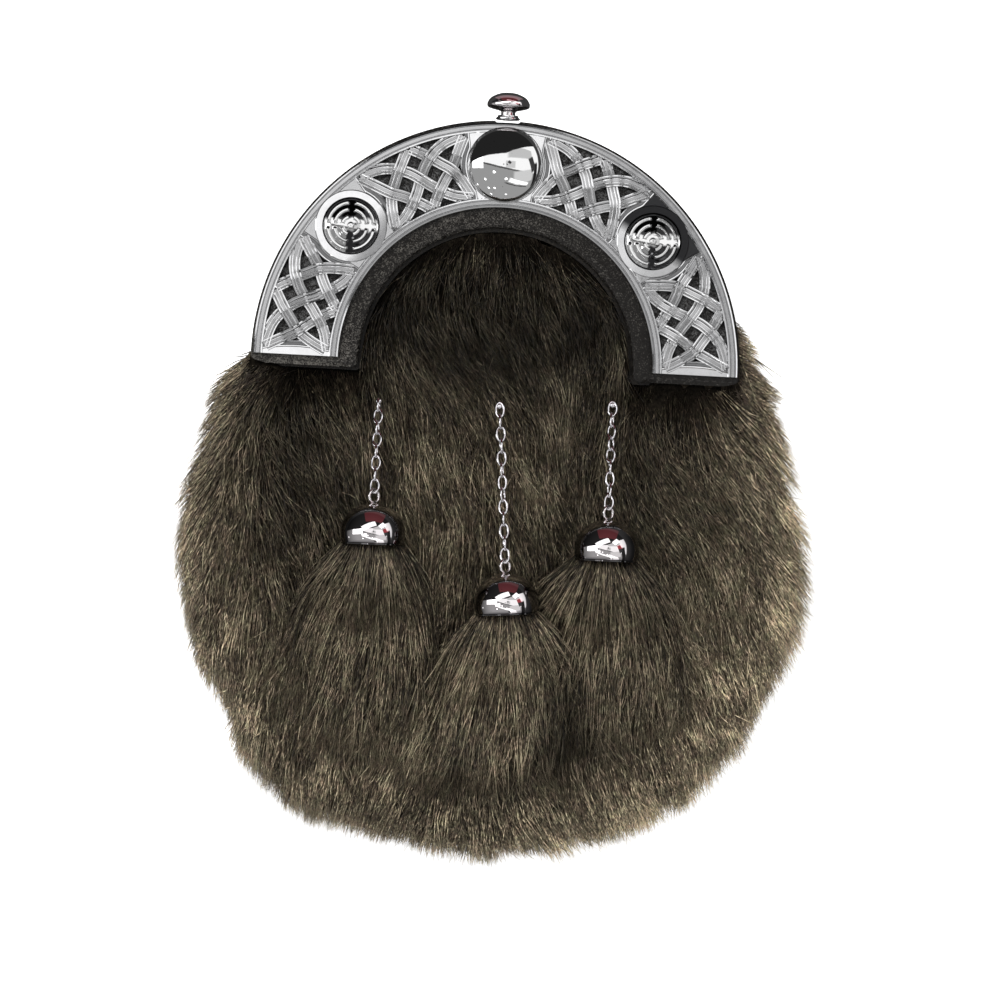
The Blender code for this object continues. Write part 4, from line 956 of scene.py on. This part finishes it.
def furHeight(spot):
    # top of the fur and its lowest roots: nearly level over the front, falling past the leather wall to the tips
    a, r, tip, wall = aroundFur(spot)
    free = (tip > wall) & (furCentre[1] + tip * np.sin(a) < stepY + pelt["archOver"])
    beyond = (r - wall) / np.maximum(tip - wall, 1.0)
    inside, past, low = (np.interp(at, *np.transpose(levels[key]))
                         for key, at in (("inside", r / wall), ("past", beyond), ("low", beyond)))
    arch = levels["top"] - levels["archFall"] * np.clip(r / tip, 0, 1) ** 2
    return np.where(free, np.where(r < wall, inside, past), arch), np.where(free & (r >= wall), low, pelt["rootZ"])


def footGap(spot):
    # distance from the feet of the facing, 0 under them and large inside the arch
    x, y = spot[..., 0], spot[..., 1] - archY
    away = np.maximum(pelt["step"] - y, np.hypot(x, y) - facing["outer"] - 0.4)
    return np.where(np.abs(x) > pelt["archRadius"] + 0.4, np.clip(away, 0, None), 100.0)


def tucked(spot, z):
    # fur by the feet rises from under the leather
    return np.minimum(z, facing["back"] - 0.3 + 0.8 * footGap(spot))


def makeFlowMap():
    # the combing directions spread over a grid: each row's direction weighted by a bell curve of its distance
    x, y = np.arange(-120, 121, flowCell), np.arange(-100, 131, flowCell)
    spot = np.stack(np.meshgrid(x, y, indexing="ij"), -1)
    rows = np.array(combing)
    at, lean = rows[:, :2] + [0.0, archY], np.radians(rows[:, 2])
    gap = ((spot[:, :, None] - at) ** 2).sum(-1)
    gap -= gap.min(-1, keepdims=True)
    weight = np.exp(-gap / (2 * pelt["flowBlur"] ** 2))
    return x, y, unit((weight[..., None] * rays(lean - np.pi / 2)).sum(2))


flowCell = 2.0
flowX, flowY, flowMap = makeFlowMap()


def furFlow(spot):
    # combing direction between the grid's points; beside the arch it turns along the leather
    u = np.clip((spot[..., 0] - flowX[0]) / flowCell, 0, len(flowX) - 1.001)
    v = np.clip((spot[..., 1] - flowY[0]) / flowCell, 0, len(flowY) - 1.001)
    i, j = u.astype(int), v.astype(int)
    u, v = (u - i)[..., None], (v - j)[..., None]
    d = ((flowMap[i, j] * (1 - u) + flowMap[i + 1, j] * u) * (1 - v)
         + (flowMap[i, j + 1] * (1 - u) + flowMap[i + 1, j + 1] * u) * v)
    x, y = spot[..., 0], spot[..., 1] - archY
    r = np.hypot(x, y)
    near = np.clip((r - 34) / 8.5, 0, 1) * (y > -5) * (np.abs(x) < 45)
    n = np.stack([x, y], -1) / (r[..., None] + 1e-9)
    return unit(d - n * (np.clip((d * n).sum(-1), 0, None) * near)[..., None])


def walk(start, length, lean, bend, steps=18):
    # follows the flow from each start, leaning off it by some degrees that grow along the hair
    path = [start]
    for k in range(steps):
        d = furFlow(path[-1])
        c, s = rays(np.radians(lean + bend * (k / steps))).T
        d = np.stack([d[:, 0] * c - d[:, 1] * s, d[:, 0] * s + d[:, 1] * c], -1)
        path.append(path[-1] + d * (length / steps)[:, None])
    return np.stack(path, 1)


def nearest(spot, cell, seed):
    # the nearest jittered-grid centre of the nine cells around: place, distance, three even random values
    base = np.floor(spot / cell).astype(int)
    best, where, luck = np.full(len(spot), 1e9), np.zeros_like(spot), np.zeros((len(spot), 3))
    for i in (-1, 0, 1):
        for j in (-1, 0, 1):
            c = base + (i, j)
            h = (c[:, 0] * 73856093 ^ c[:, 1] * 19349663 ^ seed * 83492791) & 0xFFFFFF
            jitter = np.stack([(h % 1009) / 1009.0, (h // 1009 % 997) / 997.0], -1)
            at = (c + 0.15 + 0.7 * jitter) * cell
            gap = np.linalg.norm(at - spot, axis=1)
            closer = gap < best
            best = np.where(closer, gap, best)
            where[closer] = at[closer]
            roll = [(h * big % prime) / prime for big, prime in ((7919, 10007), (104729, 9973), (1299709, 9967))]
            luck[closer] = np.stack(roll, -1)[closer]
    return where, best, luck


def strandMesh(name, path, width, values, replaces=()):
    # closed three-sided hairs: rings of three round each path point and a shared tip
    n, k = path.shape[0], path.shape[1] - 1
    tangent = unit(np.gradient(path, axis=1)[:, :k])
    side = unit(np.cross(tangent, [0.02, 0.03, 1.0]))
    rise = np.cross(side, tangent)
    c, s = rays(np.radians([90.0, 210.0, 330.0])).T
    half = width[..., None] * 0.5
    rings = path[:, :k, None] + side[:, :, None] * (half * c)[..., None] + rise[:, :, None] * (half * s)[..., None]
    per = 3 * k + 1
    points = np.concatenate([rings.reshape(n, -1, 3), path[:, k:]], 1).reshape(-1, 3)
    one = np.concatenate([gridFaces(k, 3, False, True), fanFaces(np.arange(3) + per - 4, per - 1), [[2, 1, 0, -1]]])
    faces = np.where(one < 0, -1, one + (np.arange(n) * per)[:, None, None]).reshape(-1, 4)
    data = {key: np.concatenate([np.repeat(v[:, :k], 3, axis=1), v[:, k:]], 1).ravel() for key, v in values.items()}
    piece = makePiece(name, (points, faces), furFinish, replaces, sharp=0, values=data)
    # own small cell for each hair: u across, v along
    corner, step = np.arange(3)[:, None], np.arange(k - 1)[:, None, None]
    uBody = np.broadcast_to((corner + [0, 1, 1, 0]) / 3, (k - 1, 3, 4))
    vBody = np.broadcast_to((step + [0, 0, 1, 1]) / k, (k - 1, 3, 4))
    u = np.concatenate([uBody.ravel(), ((corner + [0, 1, 0.5]) / 3).ravel(), [0.6, 0.4, 0.2]])
    v = np.concatenate([vBody.ravel(), np.tile([(k - 1) / k, (k - 1) / k, 1.0], 3), [0.0, 0.0, 0.02]])
    across = math.ceil(math.sqrt(n * 3.0))
    down = math.ceil(n / across)
    cellX, cellY = np.arange(n)[:, None] % across, np.arange(n)[:, None] // across
    uv = np.stack([(cellX + 0.1 + 0.8 * u) / across, (cellY + 0.04 + 0.92 * v) / down], -1)
    piece.data.uv_layers.new(name="OFBake").uv.foreach_set("vector", uv.astype(np.float32).ravel())


# painted light and shade on the fur: by height, towards the outline at both sides, then soft round spots (x, height,
# radius, gain)
shade = dict(height=[-150, -110, -60, -30, -12, 5, 25, 45], light=[1.05, 1.35, 1.22, 1.16, 0.48, 0.17, 0.34, 1.85],
             edgeLeft=2.2, edgeRight=3.6, edgeWidth=9.0, least=0.1, most=4.5)
shadeSpots = [(-12, -40, 20, 1.25), (45, -38, 18, 0.70), (-58, -18, 16, 0.24), (-61, -43, 16, 0.52),
              (-38, -116, 7, 0.42), (29, -121, 13, 0.10), (2, -131, 11, 0.45), (60, -22, 14, 0.75),
              (47, -54, 7, 0.55), (-35, -53, 10, 0.70), (6, -74, 9, 0.72), (38, -55, 10, 0.7), (-30, -90, 7, 0.7),
              (30, -90, 7, 0.75)]


def dimmed(light, spot, rows):
    # times the gain in the middle of each soft spot, fading to 1 as a bell curve
    for x, height, size, gain in rows:
        away = ((spot - [x, archY + height]) ** 2).sum(-1)
        light = light * (1 - (1 - gain) * np.exp(-away / (2 * size ** 2)))
    return light


def withStrays(tone, rng):
    # one hair in ten much darker, one in twenty-five lighter
    stray = rng.uniform(0, 1, len(tone))
    return np.where(stray < 0.10, tone * 0.2, np.where(stray > 0.96, np.clip(tone + 0.25, 0, 1), tone))


def regionLight(spot):
    # painted light and shade of the fur at a place: height, slow waves, the light edge and the spots
    _, r, tip, _ = aroundFur(spot)
    x, y = spot[..., 0], spot[..., 1] - archY
    light = np.interp(y, shade["height"], shade["light"]) * (1 + 0.20 * waves(spot, 26, 21))
    light = np.where(x > 76, np.maximum(light, 0.9), light)
    # painted lighter towards the outline, but not along the leather
    away = np.maximum(np.clip((-8 - y) / 10, 0, 1), np.clip((np.abs(x) - 75) / 4, 0, 1))
    edge = np.interp(x, [-50, 50], [shade["edgeLeft"], shade["edgeRight"]])
    light += np.exp(-np.clip(tip - r, 0, None) / shade["edgeWidth"]) * away * edge
    return np.clip(dimmed(light, spot, shadeSpots), shade["least"], shade["most"])


def peltRoots(rng):
    # even random places over the front, thinned inside, that miss the arch and the feet
    spot = rng.uniform((-96, archY - 153), (96, archY + 44), (pelt["strands"] * 3, 2))
    _, r, tip, wall = aroundFur(spot)
    rim = np.clip((r - wall + 12) / 12, 0, 1) * (tip > wall)
    inside = r < np.minimum(tip - 0.8, wall - 0.5 + 0.36 * np.clip(tip - wall, 0, None))
    inside &= rng.uniform(0, 1, len(r)) < pelt["thin"] + (1 - pelt["thin"]) * rim
    wide = np.abs(spot[:, 0])
    inside &= (spot[:, 1] < stepY - 0.5) | (wide < pelt["archRadius"]) | (wide > pelt["footOuter"])
    return spot[inside][:pelt["strands"]]


def makePelt():
    # hairs walk along the combing, drawn to the leaders of their tuft and of their clump; top and depth give
    # their heights
    rng = np.random.default_rng(pelt["seed"])
    spot = peltRoots(rng)
    n, y = len(spot), spot[:, 1] - archY
    length = pelt["length"] * rng.uniform(0.70, 1.2, n) * np.interp(y, [-20, 20, 42], [1.0, 0.80, 0.55])
    wild = np.where(rng.uniform(0, 1, n) < pelt["wildShare"], pelt["wildTurn"], 1.0)
    turn = pelt["hairTurn"]
    path = walk(spot, length, wild * rng.normal(0, turn, n), wild * rng.normal(0, 2 * turn, n))
    steps = path.shape[1]
    share = np.linspace(0, 1, steps)[None, :, None]
    tuftAt, tuftGap, tuftLuck = nearest(spot, pelt["tuft"], 11)
    clumpAt, clumpGap, clumpLuck = nearest(spot, pelt["clump"], 12)
    loose = (rng.uniform(0.75, 1.0, n) / wild ** 0.8)[:, None, None]
    for at, luck, key in ((tuftAt, tuftLuck, "tuft"), (clumpAt, clumpLuck, "clump")):
        turn = pelt[key + "Turn"]
        lead = walk(at, length, (luck[:, 0] - 0.5) * 3.4 * turn, (luck[:, 1] - 0.5) * 6.8 * turn)
        path = path + (lead - path) * pelt[key + "Pull"] * loose * share ** 1.2
    # shorten what would pass the outline, most of all the upper hairs, so the edge thins out softly
    _, r, tip, wall = aroundFur(path)
    ragged = 1.0 + pelt["raggedTuft"] * (tuftLuck[:, 2:] - 0.55) + pelt["raggedClump"] * (clumpLuck[:, 2:] - 0.5)
    out = r > np.where(tip > wall, tip * ragged, tip)
    first = np.where(out.any(1), out.argmax(1), steps)
    shorter = first / (steps - 1) * (1.0 - 0.28 * rng.uniform(0, 1, n) ** 2.2)
    keep = np.clip(np.where(first < steps, shorter, 1.0), 0.12, 1.0)
    # three points of what is kept
    marks = np.array([0.0, 0.5, 1.0])
    at = keep[:, None] * marks * (steps - 1)
    i = np.clip(at.astype(int), 0, steps - 2)
    f = (at - i)[..., None]
    rows = np.arange(n)[:, None]
    flat = path[rows, i] * (1 - f) + path[rows, i + 1] * f
    top, low = furHeight(flat)
    crown = 1.0 - np.minimum(tuftGap / pelt["tuft"], 1.0)
    fine = 1.0 - np.minimum(clumpGap / pelt["clump"], 1.0)
    top = top + 1.0 * waves(flat, 17, 51) + (1.7 * crown + 1.1 * fine - 1.6)[:, None] * np.sin(marks * 2.4)
    depth = rng.uniform(0, 1, n)[:, None] ** 1.35 * pelt["depth"]
    z = top - np.clip(depth + pelt["sunk"], 0, 1) * (top - low)
    z[:, 0] = np.minimum(z[:, 0], pelt["panelZ"])
    # next to the leather the hair rises at once; under it, it stays low
    _, r, tip, _ = aroundFur(spot)
    by = pelt["byLeather"]
    near = ((tip - r < by) & (y > -14.0) & (np.abs(spot[:, 0]) < 82.0)) | (footGap(spot) < by)
    z[:, 0] = np.where(near, np.maximum(top[:, 0] - 3.0, low[:, 0] + 0.3), z[:, 0])
    full = lifted(flat, tucked(flat, z))
    width = pelt["width"] * rng.uniform(0.7, 1.3, n)[:, None] * np.array([0.8, 1.0])
    # painted shade: hairs far from the middle of their tuft and clump, and deep ones, are darker; the rest of the
    # tone is random
    tone = (rng.normal(0.37, 0.14, n) + 0.26 * (fine - 0.5) + 0.38 * (crown - 0.5) + 0.42 * (tuftLuck[:, 2] - 0.5)
            + 0.50 * (clumpLuck[:, 1] - 0.5))
    tone = withStrays(np.clip(tone - 0.34 * depth[:, 0], 0, 1), rng)
    light = regionLight(flat)[:, 1:].mean(1)
    values = {"along": np.tile(marks, (n, 1)), "tone": np.tile(tone[:, None], 3), "light": np.tile(light[:, None], 3)}
    for k, part in enumerate(np.array_split(np.argsort(spot[:, 0]), 4)):
        strandMesh("pelt_fur_" + "abcd"[k], full[part], width[part], {key: v[part] for key, v in values.items()},
                   ["fur_pelt"] if k == 0 else ())


def makeUndercoat():
    # dense underfur: a lumpy dark form a little inside the long hair, closed underneath
    angle = np.linspace(0, 2 * np.pi, 240, endpoint=False)
    tip, wall = tipAndWall(angle)
    over = tip > wall + 1
    edge = np.where(over, wall + 0.42 * (tip - wall), tip - 0.6)
    rings = []
    for s in (0.08, 0.2, 0.32, 0.44, 0.56, 0.67, 0.77, 0.85, 0.91, 0.95, 0.98, 1.0):
        spot = furCentre + (edge * s)[:, None] * rays(angle)
        top, low = furHeight(spot)
        sink = 3.2 + 0.5 * waves(spot, 12, 61) + (1.5 if s == 1.0 else 0.0)
        rings.append(lifted(spot, tucked(spot, np.maximum(top - sink, low + 0.1)) - 0.2))
    for reach, z in ((np.where(over, wall + 0.7, edge - 0.2), np.where(over, 18.0, pelt["panelZ"] + 0.1)),
                     (np.minimum(edge, wall + 0.7), pelt["panelZ"])):
        rings.append(lifted(furCentre + reach[:, None] * rays(angle), z))
    surface = capped(np.stack(rings), [*furCentre, 32.7], [*furCentre, pelt["panelZ"]])
    # darker in the leather's shadow
    flat = surface[0][:, :2]
    _, r, tip, wall = aroundFur(flat)
    gap = np.minimum(np.where(tip > wall, 100.0, tip - r), footGap(flat))
    makePiece("underfur", surface, woolFinish, sharp=0,
              values={"light": regionLight(flat) * np.clip(gap / pelt["byLeather"], 0.25, 1.0)})


tassel = dict(strands=4300, length=27.0, width=0.35, reach=7.6, seed=17, tufts=26, clumps=420, thick=7.5,
              opening=36.0, tuftPull=0.34, clumpPull=0.68, wildShare=0.34, depth=0.85, inMouth=4.0,
              hollows=[(28.0, -120.0, 11.0, 0.12), (-6.0, -128.0, 8.0, 0.4)])


def makeTassel(number, hang, mouth):
    # hairs leave the bell's mouth and the fan below it, as on a rolled strip of fur; tufts hold clumps and
    # clumps hold hairs
    down, wide = (way[:2] for way in hangFrame(hang)[2:])
    rng = np.random.default_rng(tassel["seed"] + number)
    tufts, clumps, n = tassel["tufts"], tassel["clumps"], tassel["strands"]
    foot = np.array([hang["foot"][0], archY + hang["foot"][1]])
    start = mouth[:2] - down * 2.0
    whole = np.linalg.norm(foot - start)
    bendAt = start + down * whole * 0.42
    t = np.linspace(0, 1, 13)

    def curves(root, across, length, sway, opening=tassel["opening"]):
        # middle line: a quadratic curve; sideways: across * (mouth + (spread - mouth) * (1 - exp(-s / opening)))
        s = np.clip((root[:, None] + t[None] * length[:, None]) / whole, -0.05, 1.1)
        middle = ((1 - s) ** 2)[..., None] * start + (2 * s * (1 - s))[..., None] * bendAt + (s * s)[..., None] * foot
        out = 1 - np.exp(-np.clip(s, 0, None) * whole / opening)
        side = across[:, None] * (tassel["reach"] + (hang["spread"] - tassel["reach"]) * out) * (1 - 0.12 * s * s)
        spot = middle + (side + sway[:, :1] * t ** 1.6)[..., None] * wide
        return spot - down * (across[:, None] ** 2 * out * 4.0)[..., None], s

    tuftRoot = rng.uniform(-0.02, 0.62, tufts) * whole
    tuftSide = np.sin(rng.uniform(-1, 1, tufts) * 1.35)
    tuftSway = rng.normal(0, 4.0, (tufts, 1))
    tuftSize = rng.uniform(0.85, 1.15, tufts)
    ofTuft = rng.integers(0, tufts, clumps)
    clumpRoot = np.clip(tuftRoot[ofTuft] + rng.normal(0, 9.0, clumps), -1.5, 0.70 * whole)
    clumpRoot = np.where(rng.uniform(0, 1, clumps) < 0.30, rng.uniform(-1.5, 3.0, clumps), clumpRoot)
    clumpSide = np.clip(tuftSide[ofTuft] + rng.normal(0, 0.30, clumps), -1, 1)
    clumpSway = rng.normal(0, 4.2, (clumps, 1))
    clumpTone = rng.normal(0, 0.19, clumps) + rng.normal(0, 0.13, tufts)[ofTuft]
    ofClump = rng.integers(0, clumps, n)
    inTuft = ofTuft[ofClump]
    root = clumpRoot[ofClump] + rng.normal(0, 1.3, n)
    across = np.clip(clumpSide[ofClump] + rng.normal(0, 0.10, n), -1.05, 1.05)
    length = tassel["length"] * rng.uniform(0.72, 1.2, n) * tuftSize[inTuft]
    length = np.minimum(length, (1.05 - 0.10 * rng.uniform(0, 1, n) ** 2) * whole - root)
    wild = np.where(rng.uniform(0, 1, n) < tassel["wildShare"], 1.0, 0.0)[:, None]
    sway = rng.normal(0, 1.5, (n, 1)) * (1 + 2.6 * wild)
    spot, s = curves(root, across, length, sway, tassel["opening"] - 14.0 * wild)
    for at, side, sway, pull in ((tuftRoot[inTuft], tuftSide[inTuft], tuftSway[inTuft], tassel["tuftPull"]),
                                 (clumpRoot[ofClump], clumpSide[ofClump], clumpSway[ofClump], tassel["clumpPull"])):
        lead = curves(np.clip(at, -1.5, None), side, length, sway)[0]
        spot = spot + (lead - spot) * ((1 - 0.75 * wild) * pull * t ** 1.2)[..., None]
    marks = np.array([0.0, 0.33, 0.67, 1.0])
    pick = (marks * 12).round().astype(int)
    spot, s = spot[:, pick], s[:, pick]
    # height: from the round bundle in the mouth to a flattened one on the pelt, deeper at each hair's root
    bow = np.sqrt(np.clip(1 - 0.9 * across ** 2, 0.05, 1))[:, None]
    settle = eased(s * whole / 34.0)
    bed = furHeight(spot)[0]
    upper = ((1 - settle) * (mouth[2] + tassel["reach"] * bow)
             + settle * (bed + 0.8 + tassel["thick"] * (1 - 0.6 * s) * bow))
    upper = upper + 1.2 * np.sin(np.pi * np.clip(s * whole / 24.0, 0, 1)) * bow
    lower = (1 - settle) * (mouth[2] - tassel["reach"] * bow) + settle * (bed - 1.5)
    depth = rng.uniform(0, 1, n)[:, None] ** 1.35 * tassel["depth"]
    inMouth = (root < tassel["inMouth"])[:, None]
    q = np.clip(depth + np.array([0.22, 0.08, 0.0, 0.10]) * np.where(inMouth, 0.3, 1.0), 0, 1)
    z = upper - q * (upper - lower) + 0.8 * waves(spot, 13, 91 + number) * settle
    width = tassel["width"] * rng.uniform(0.75, 1.25, n)[:, None] * np.array([0.7, 1.0, 0.72])
    # painted shade: deep hairs are darker
    tone = np.clip(rng.normal(0.41, 0.16, n) + clumpTone[ofClump] - 0.30 * depth[:, 0] + 0.04, 0, 1)
    tone = withStrays(tone, rng)
    # painted light and shade: each tassel's own lightness, darker at its sides, near the bell's mouth and in the
    # hollows
    glow = hang["light"] * (1 + 0.18 * waves(spot[:, 3], 18, 81)) * (1 - 0.25 * across ** 2)
    glow = glow * np.interp(s[:, 2] * whole, [2.0, 30.0], [0.42, 1.0])
    glow = dimmed(glow, spot[:, 2], tassel["hollows"])
    # hairs rooted in the mouth skip the darkest part of the root colour, which is partly painted shade
    low = np.where(inMouth, 0.22, 0.0)
    values = {"along": low + (1 - low) * marks, "tone": np.tile(tone[:, None], 4), "light": np.tile(glow[:, None], 4)}
    strandMesh("tassel_fur_" + hang["side"], lifted(spot, z), width, values, ["tassel_" + hang["side"]])


makeUndercoat()
makePelt()
for number, (hang, mouth) in enumerate(zip(hangs, mouths)):
    makeTassel(number, hang, mouth)
print("fur ready")

studio = dict(floor=0.93, floorGlow=0.60, floorHalf=2.5, keyPower=21.0, fillPower=10.0, aim=(0.0, 0.03, 0.03),
              lens=148.6, eye=(0.0038, 0.0276, 1.332), roll=3.0)
# The room that the metal mirrors, laid out by slope: a surface that tilts by (across, up) mirrors the card there.
# room: overhead grey, band above it, dark end of the room, edge of the dark and of the band
room = dict(grey=0.36, band=1.12, dark=0.018, darkFrom=0.165, darkRight=0.55, darkLeft=-0.10, bandFrom=0.0,
            bandFall=-0.176, rimAt=(-0.25, 0.0), rim=1.0, far=0.05, lamp=6.0, lampSize=0.013)
# cards: across, up, half width, half height, degrees turned, tone
cards = [
    (0.22, 0.20, 0.20, 0.075, 4.0, 0.62),            # pale wall at the right
    (0.060, 0.035, 0.054, 0.040, 0.0, 0.69),         # right half of the band over the panels
    (-0.063, 0.000, 0.29, 0.009, -10.0, 0.10),       # dark edge under the band
    (0.30, -0.135, 0.185, 0.105, 6.0, 0.72),         # second light field
    (0.24, -0.225, 0.19, 0.030, -20.0, 1.5),         # bright strip under it, and a dark one under that
    (0.21, -0.279, 0.215, 0.011, -20.7, 0.08),
    (-0.54, 0.04, 0.22, 0.085, 5.0, 3.0),            # window
    (0.62, -0.16, 0.085, 0.27, 14.0, 0.02),          # dark post at the right
    (0.44, 0.06, 0.07, 0.12, 30.0, 0.05),            # dark doorway
    (-0.0197, 0.0322, 0.0085, 0.0072, 49.0, 0.40),   # what the left boss's ground mirrors
    (0.0185, 0.0340, 0.0085, 0.0060, -49.0, 0.03),   # and the right one's
    (0.0440, 0.0580, 0.0180, 0.0160, -35.0, 0.05),
]
ceilingLamps = [(-1.04, -0.25), (-0.293, -0.196), (-0.134, -0.065), (0.017, -0.144), (-0.72, -0.50), (-0.274, -0.382),
                (-0.152, -0.34), (0.036, -0.521), (-0.293, -0.634), (-0.84, -1.0)]
# lights that only the bells, chains and knob mirror: across, up, half width, half height, colour
bellGlows = [(-0.14, 0.26, 0.26, 0.10, (1.4, 1.4, 1.4)), (0.30, 0.30, 0.08, 0.12, (1.6, 1.6, 1.6)),
             (0.03, 0.72, 0.40, 0.34, (0.10, 0.014, 0.018)), (0.44, 0.12, 0.07, 0.11, (0.30, 0.012, 0.022)),
             (-0.05, -0.175, 0.26, 0.026, (1.3, 1.3, 1.3)), (-0.27, -0.06, 0.045, 0.09, (1.3, 1.3, 1.3))]
knobGlows = [(-0.10, 0.30, 0.30, 0.035, (1.2, 1.1, 1.1)), (0.12, 0.62, 0.22, 0.05, (0.9, 0.6, 0.62)),
             (-0.45, 0.42, 0.05, 0.10, (0.7, 0.6, 0.6)), (0.50, 0.20, 0.05, 0.12, (1.2, 1.0, 1.0)),
             (0.0, 1.25, 0.9, 0.40, (0.22, 0.15, 0.16))]


def addLamp(name, place, size, power, colour=(1.0, 1.0, 1.0), mirrored=False):
    # a flat lamp that faces the object
    lamp = bpy.data.lights.new(name, "AREA")
    lamp.shape = "RECTANGLE"
    lamp.size, lamp.size_y, lamp.energy, lamp.color = *size, power, colour
    holder = bpy.data.objects.new(name, lamp)
    holder.location = place
    aim = np.array(studio["aim"]) - np.array(place)
    holder.rotation_euler = Vector(aim).to_track_quat("-Z", "Y").to_euler()
    holder.visible_glossy = mirrored
    bpy.context.scene.collection.objects.link(holder)
    return holder


def makeLamps():
    # key and fill, then the small lights that the bright pieces mirror, each a metre off in the direction that
    # its slope mirrors
    addLamp("keyLight", (-0.45, 0.65, 1.15), (0.6, 0.6), studio["keyPower"])
    addLamp("fillLight", (0.9, -0.5, 1.2), (0.9, 0.9), studio["fillPower"])
    brights, knobs = bpy.data.collections.new("bells"), bpy.data.collections.new("knobs")
    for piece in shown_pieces():
        if piece.name.startswith(("bell_cup", "knob_", "chain_links")):
            brights.objects.link(piece)
        if piece.name.startswith("knob_"):
            knobs.objects.link(piece)
    for number, (x, y, wide, high, colour) in enumerate(bellGlows + knobGlows):
        square = x * x + y * y
        way = np.array([2 * x, 2 * y, 1 - square]) / (1 + square)
        spread = 4 / (1 + square)
        size = (wide * spread, high * spread)
        peak = max(colour)
        holder = addLamp("bellGlow" + str(number), tuple(way + (0.0, 0.02, 0.05)), size,
                         math.pi * size[0] * size[1] * peak, tuple(c / peak for c in colour), True)
        holder.light_linking.receiver_collection = brights if number < len(bellGlows) else knobs


def makeWorld():
    # the room painted on the sky: a direction (x, y, z) has the slope (x, y) / (z + 1)
    world = bpy.data.worlds.new("studio")
    world.use_nodes = True
    world.node_tree.nodes.clear()
    tree = NodeTree(world.node_tree)

    def blend(factor, below, tone):
        # a grey over what is below
        return tree.mix(factor, below, (tone, tone, tone))

    def above(value, edge, soft):
        # 1 above a soft edge, 0 below it
        return tree.span(value, edge - soft, edge + soft)

    def below(value, edge, soft):
        # 1 below a soft edge, 0 above it
        return tree.maths("SUBTRACT", 1.0, above(value, edge, soft))

    x, y, z = tree.add("SeparateXYZ", {0: tree.add("TexCoord", {}, "Generated")}).node.outputs
    height = tree.maths("MAXIMUM", tree.maths("ADD", z, 1.0), 0.02)
    x, y = tree.maths("DIVIDE", x, height), tree.maths("DIVIDE", y, height)
    chart = tree.add("CombineXYZ", {"X": x, "Y": y})
    # band over the grey, below a line that falls to the right
    fall = tree.maths("MULTIPLY_ADD", x, -room["bandFall"], y)
    tone = blend(above(fall, room["bandFrom"], 0.002), (room["grey"],) * 3 + (1.0,), room["band"])
    for across, up, wide, high, turn, light in cards:
        local = tree.vectors("SUBTRACT", chart, (across, up, 0.0))
        local = tree.add("VectorRotate", {"Vector": local, "Angle": -math.radians(turn)}, rotation_type="Z_AXIS")
        local = tree.vectors("ABSOLUTE", tree.vectors("DIVIDE", local, (wide, high, 1.0)))
        sides = tree.add("SeparateXYZ", {0: local}).node.outputs
        tone = blend(below(tree.maths("MAXIMUM", sides["X"], sides["Y"]), 1.0, 0.08), tone, light)
    for across, up in ceilingLamps:
        reach = tree.vectors("DISTANCE", chart, (across, up, 0.0), output="Value")
        size = room["lampSize"] * (1 + across * across + up * up) ** 1.2
        tone = blend(below(reach, size, 0.3 * size), tone, room["lamp"])
    # dark end of the room over a line that rises to both sides, and all round low down
    right = tree.maths("MULTIPLY", tree.maths("MAXIMUM", x, 0.0), -room["darkRight"])
    left = tree.maths("MULTIPLY", tree.maths("MINIMUM", x, 0.0), room["darkLeft"])
    end = tree.maths("ADD", y, tree.maths("ADD", right, left))
    tone = blend(above(end, room["darkFrom"], 0.004), tone, room["dark"])
    reach = tree.vectors("DISTANCE", chart, (*room["rimAt"], 0.0), output="Value")
    tone = blend(above(reach, room["rim"], 0.03), tone, room["far"])
    tree.add("OutputWorld", {"Surface": tree.add("Background", {"Color": tone})})
    bpy.context.scene.world = world


def makeFloor():
    # white floor just under the object
    mat, tree = newMaterial("paleFloor")
    white = studio["floor"]
    tree.put(tree.shader, {"Base Color": tree.ramp(tree.noise(4.0), [(0.3, white - 0.01), (0.7, white)]),
                           "Roughness": 0.9, "Specular IOR Level": 0.1, "Emission Color": (1.0, 1.0, 1.0, 1.0),
                           "Emission Strength": studio["floorGlow"]})
    mesh = bpy.data.meshes.new("floor")
    half = studio["floorHalf"]
    corners = [(x * half, y * half, -0.0001) for x, y in ((-1, -1), (1, -1), (1, 1), (-1, 1))]
    mesh.from_pydata(corners, [], [(0, 1, 2, 3)])
    mesh.materials.append(mat)
    floor = bpy.data.objects.new("floor", mesh)
    bpy.context.scene.collection.objects.link(floor)
    floor.visible_glossy = False       # the metal mirrors a dark table instead
    floor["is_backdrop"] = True


def makeCamera():
    # long lens straight above the object
    shot = bpy.data.cameras.new("camera")
    shot.lens, shot.sensor_width = studio["lens"], 36.0
    shot.clip_start, shot.clip_end = 0.05, 20.0
    eye = bpy.data.objects.new("camera", shot)
    eye.location = studio["eye"]
    eye.rotation_euler = (0.0, 0.0, math.radians(studio["roll"]))
    bpy.context.scene.collection.objects.link(eye)
    bpy.context.scene.camera = eye
    bpy.context.scene.view_settings.view_transform = "Standard"


makeFloor()
makeLamps()
makeWorld()
makeCamera()
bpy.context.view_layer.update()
total = sum(len(p.vertices) - 2 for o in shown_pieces() if o.type == "MESH" for p in o.data.polygons)
print("triangles shown:", total)
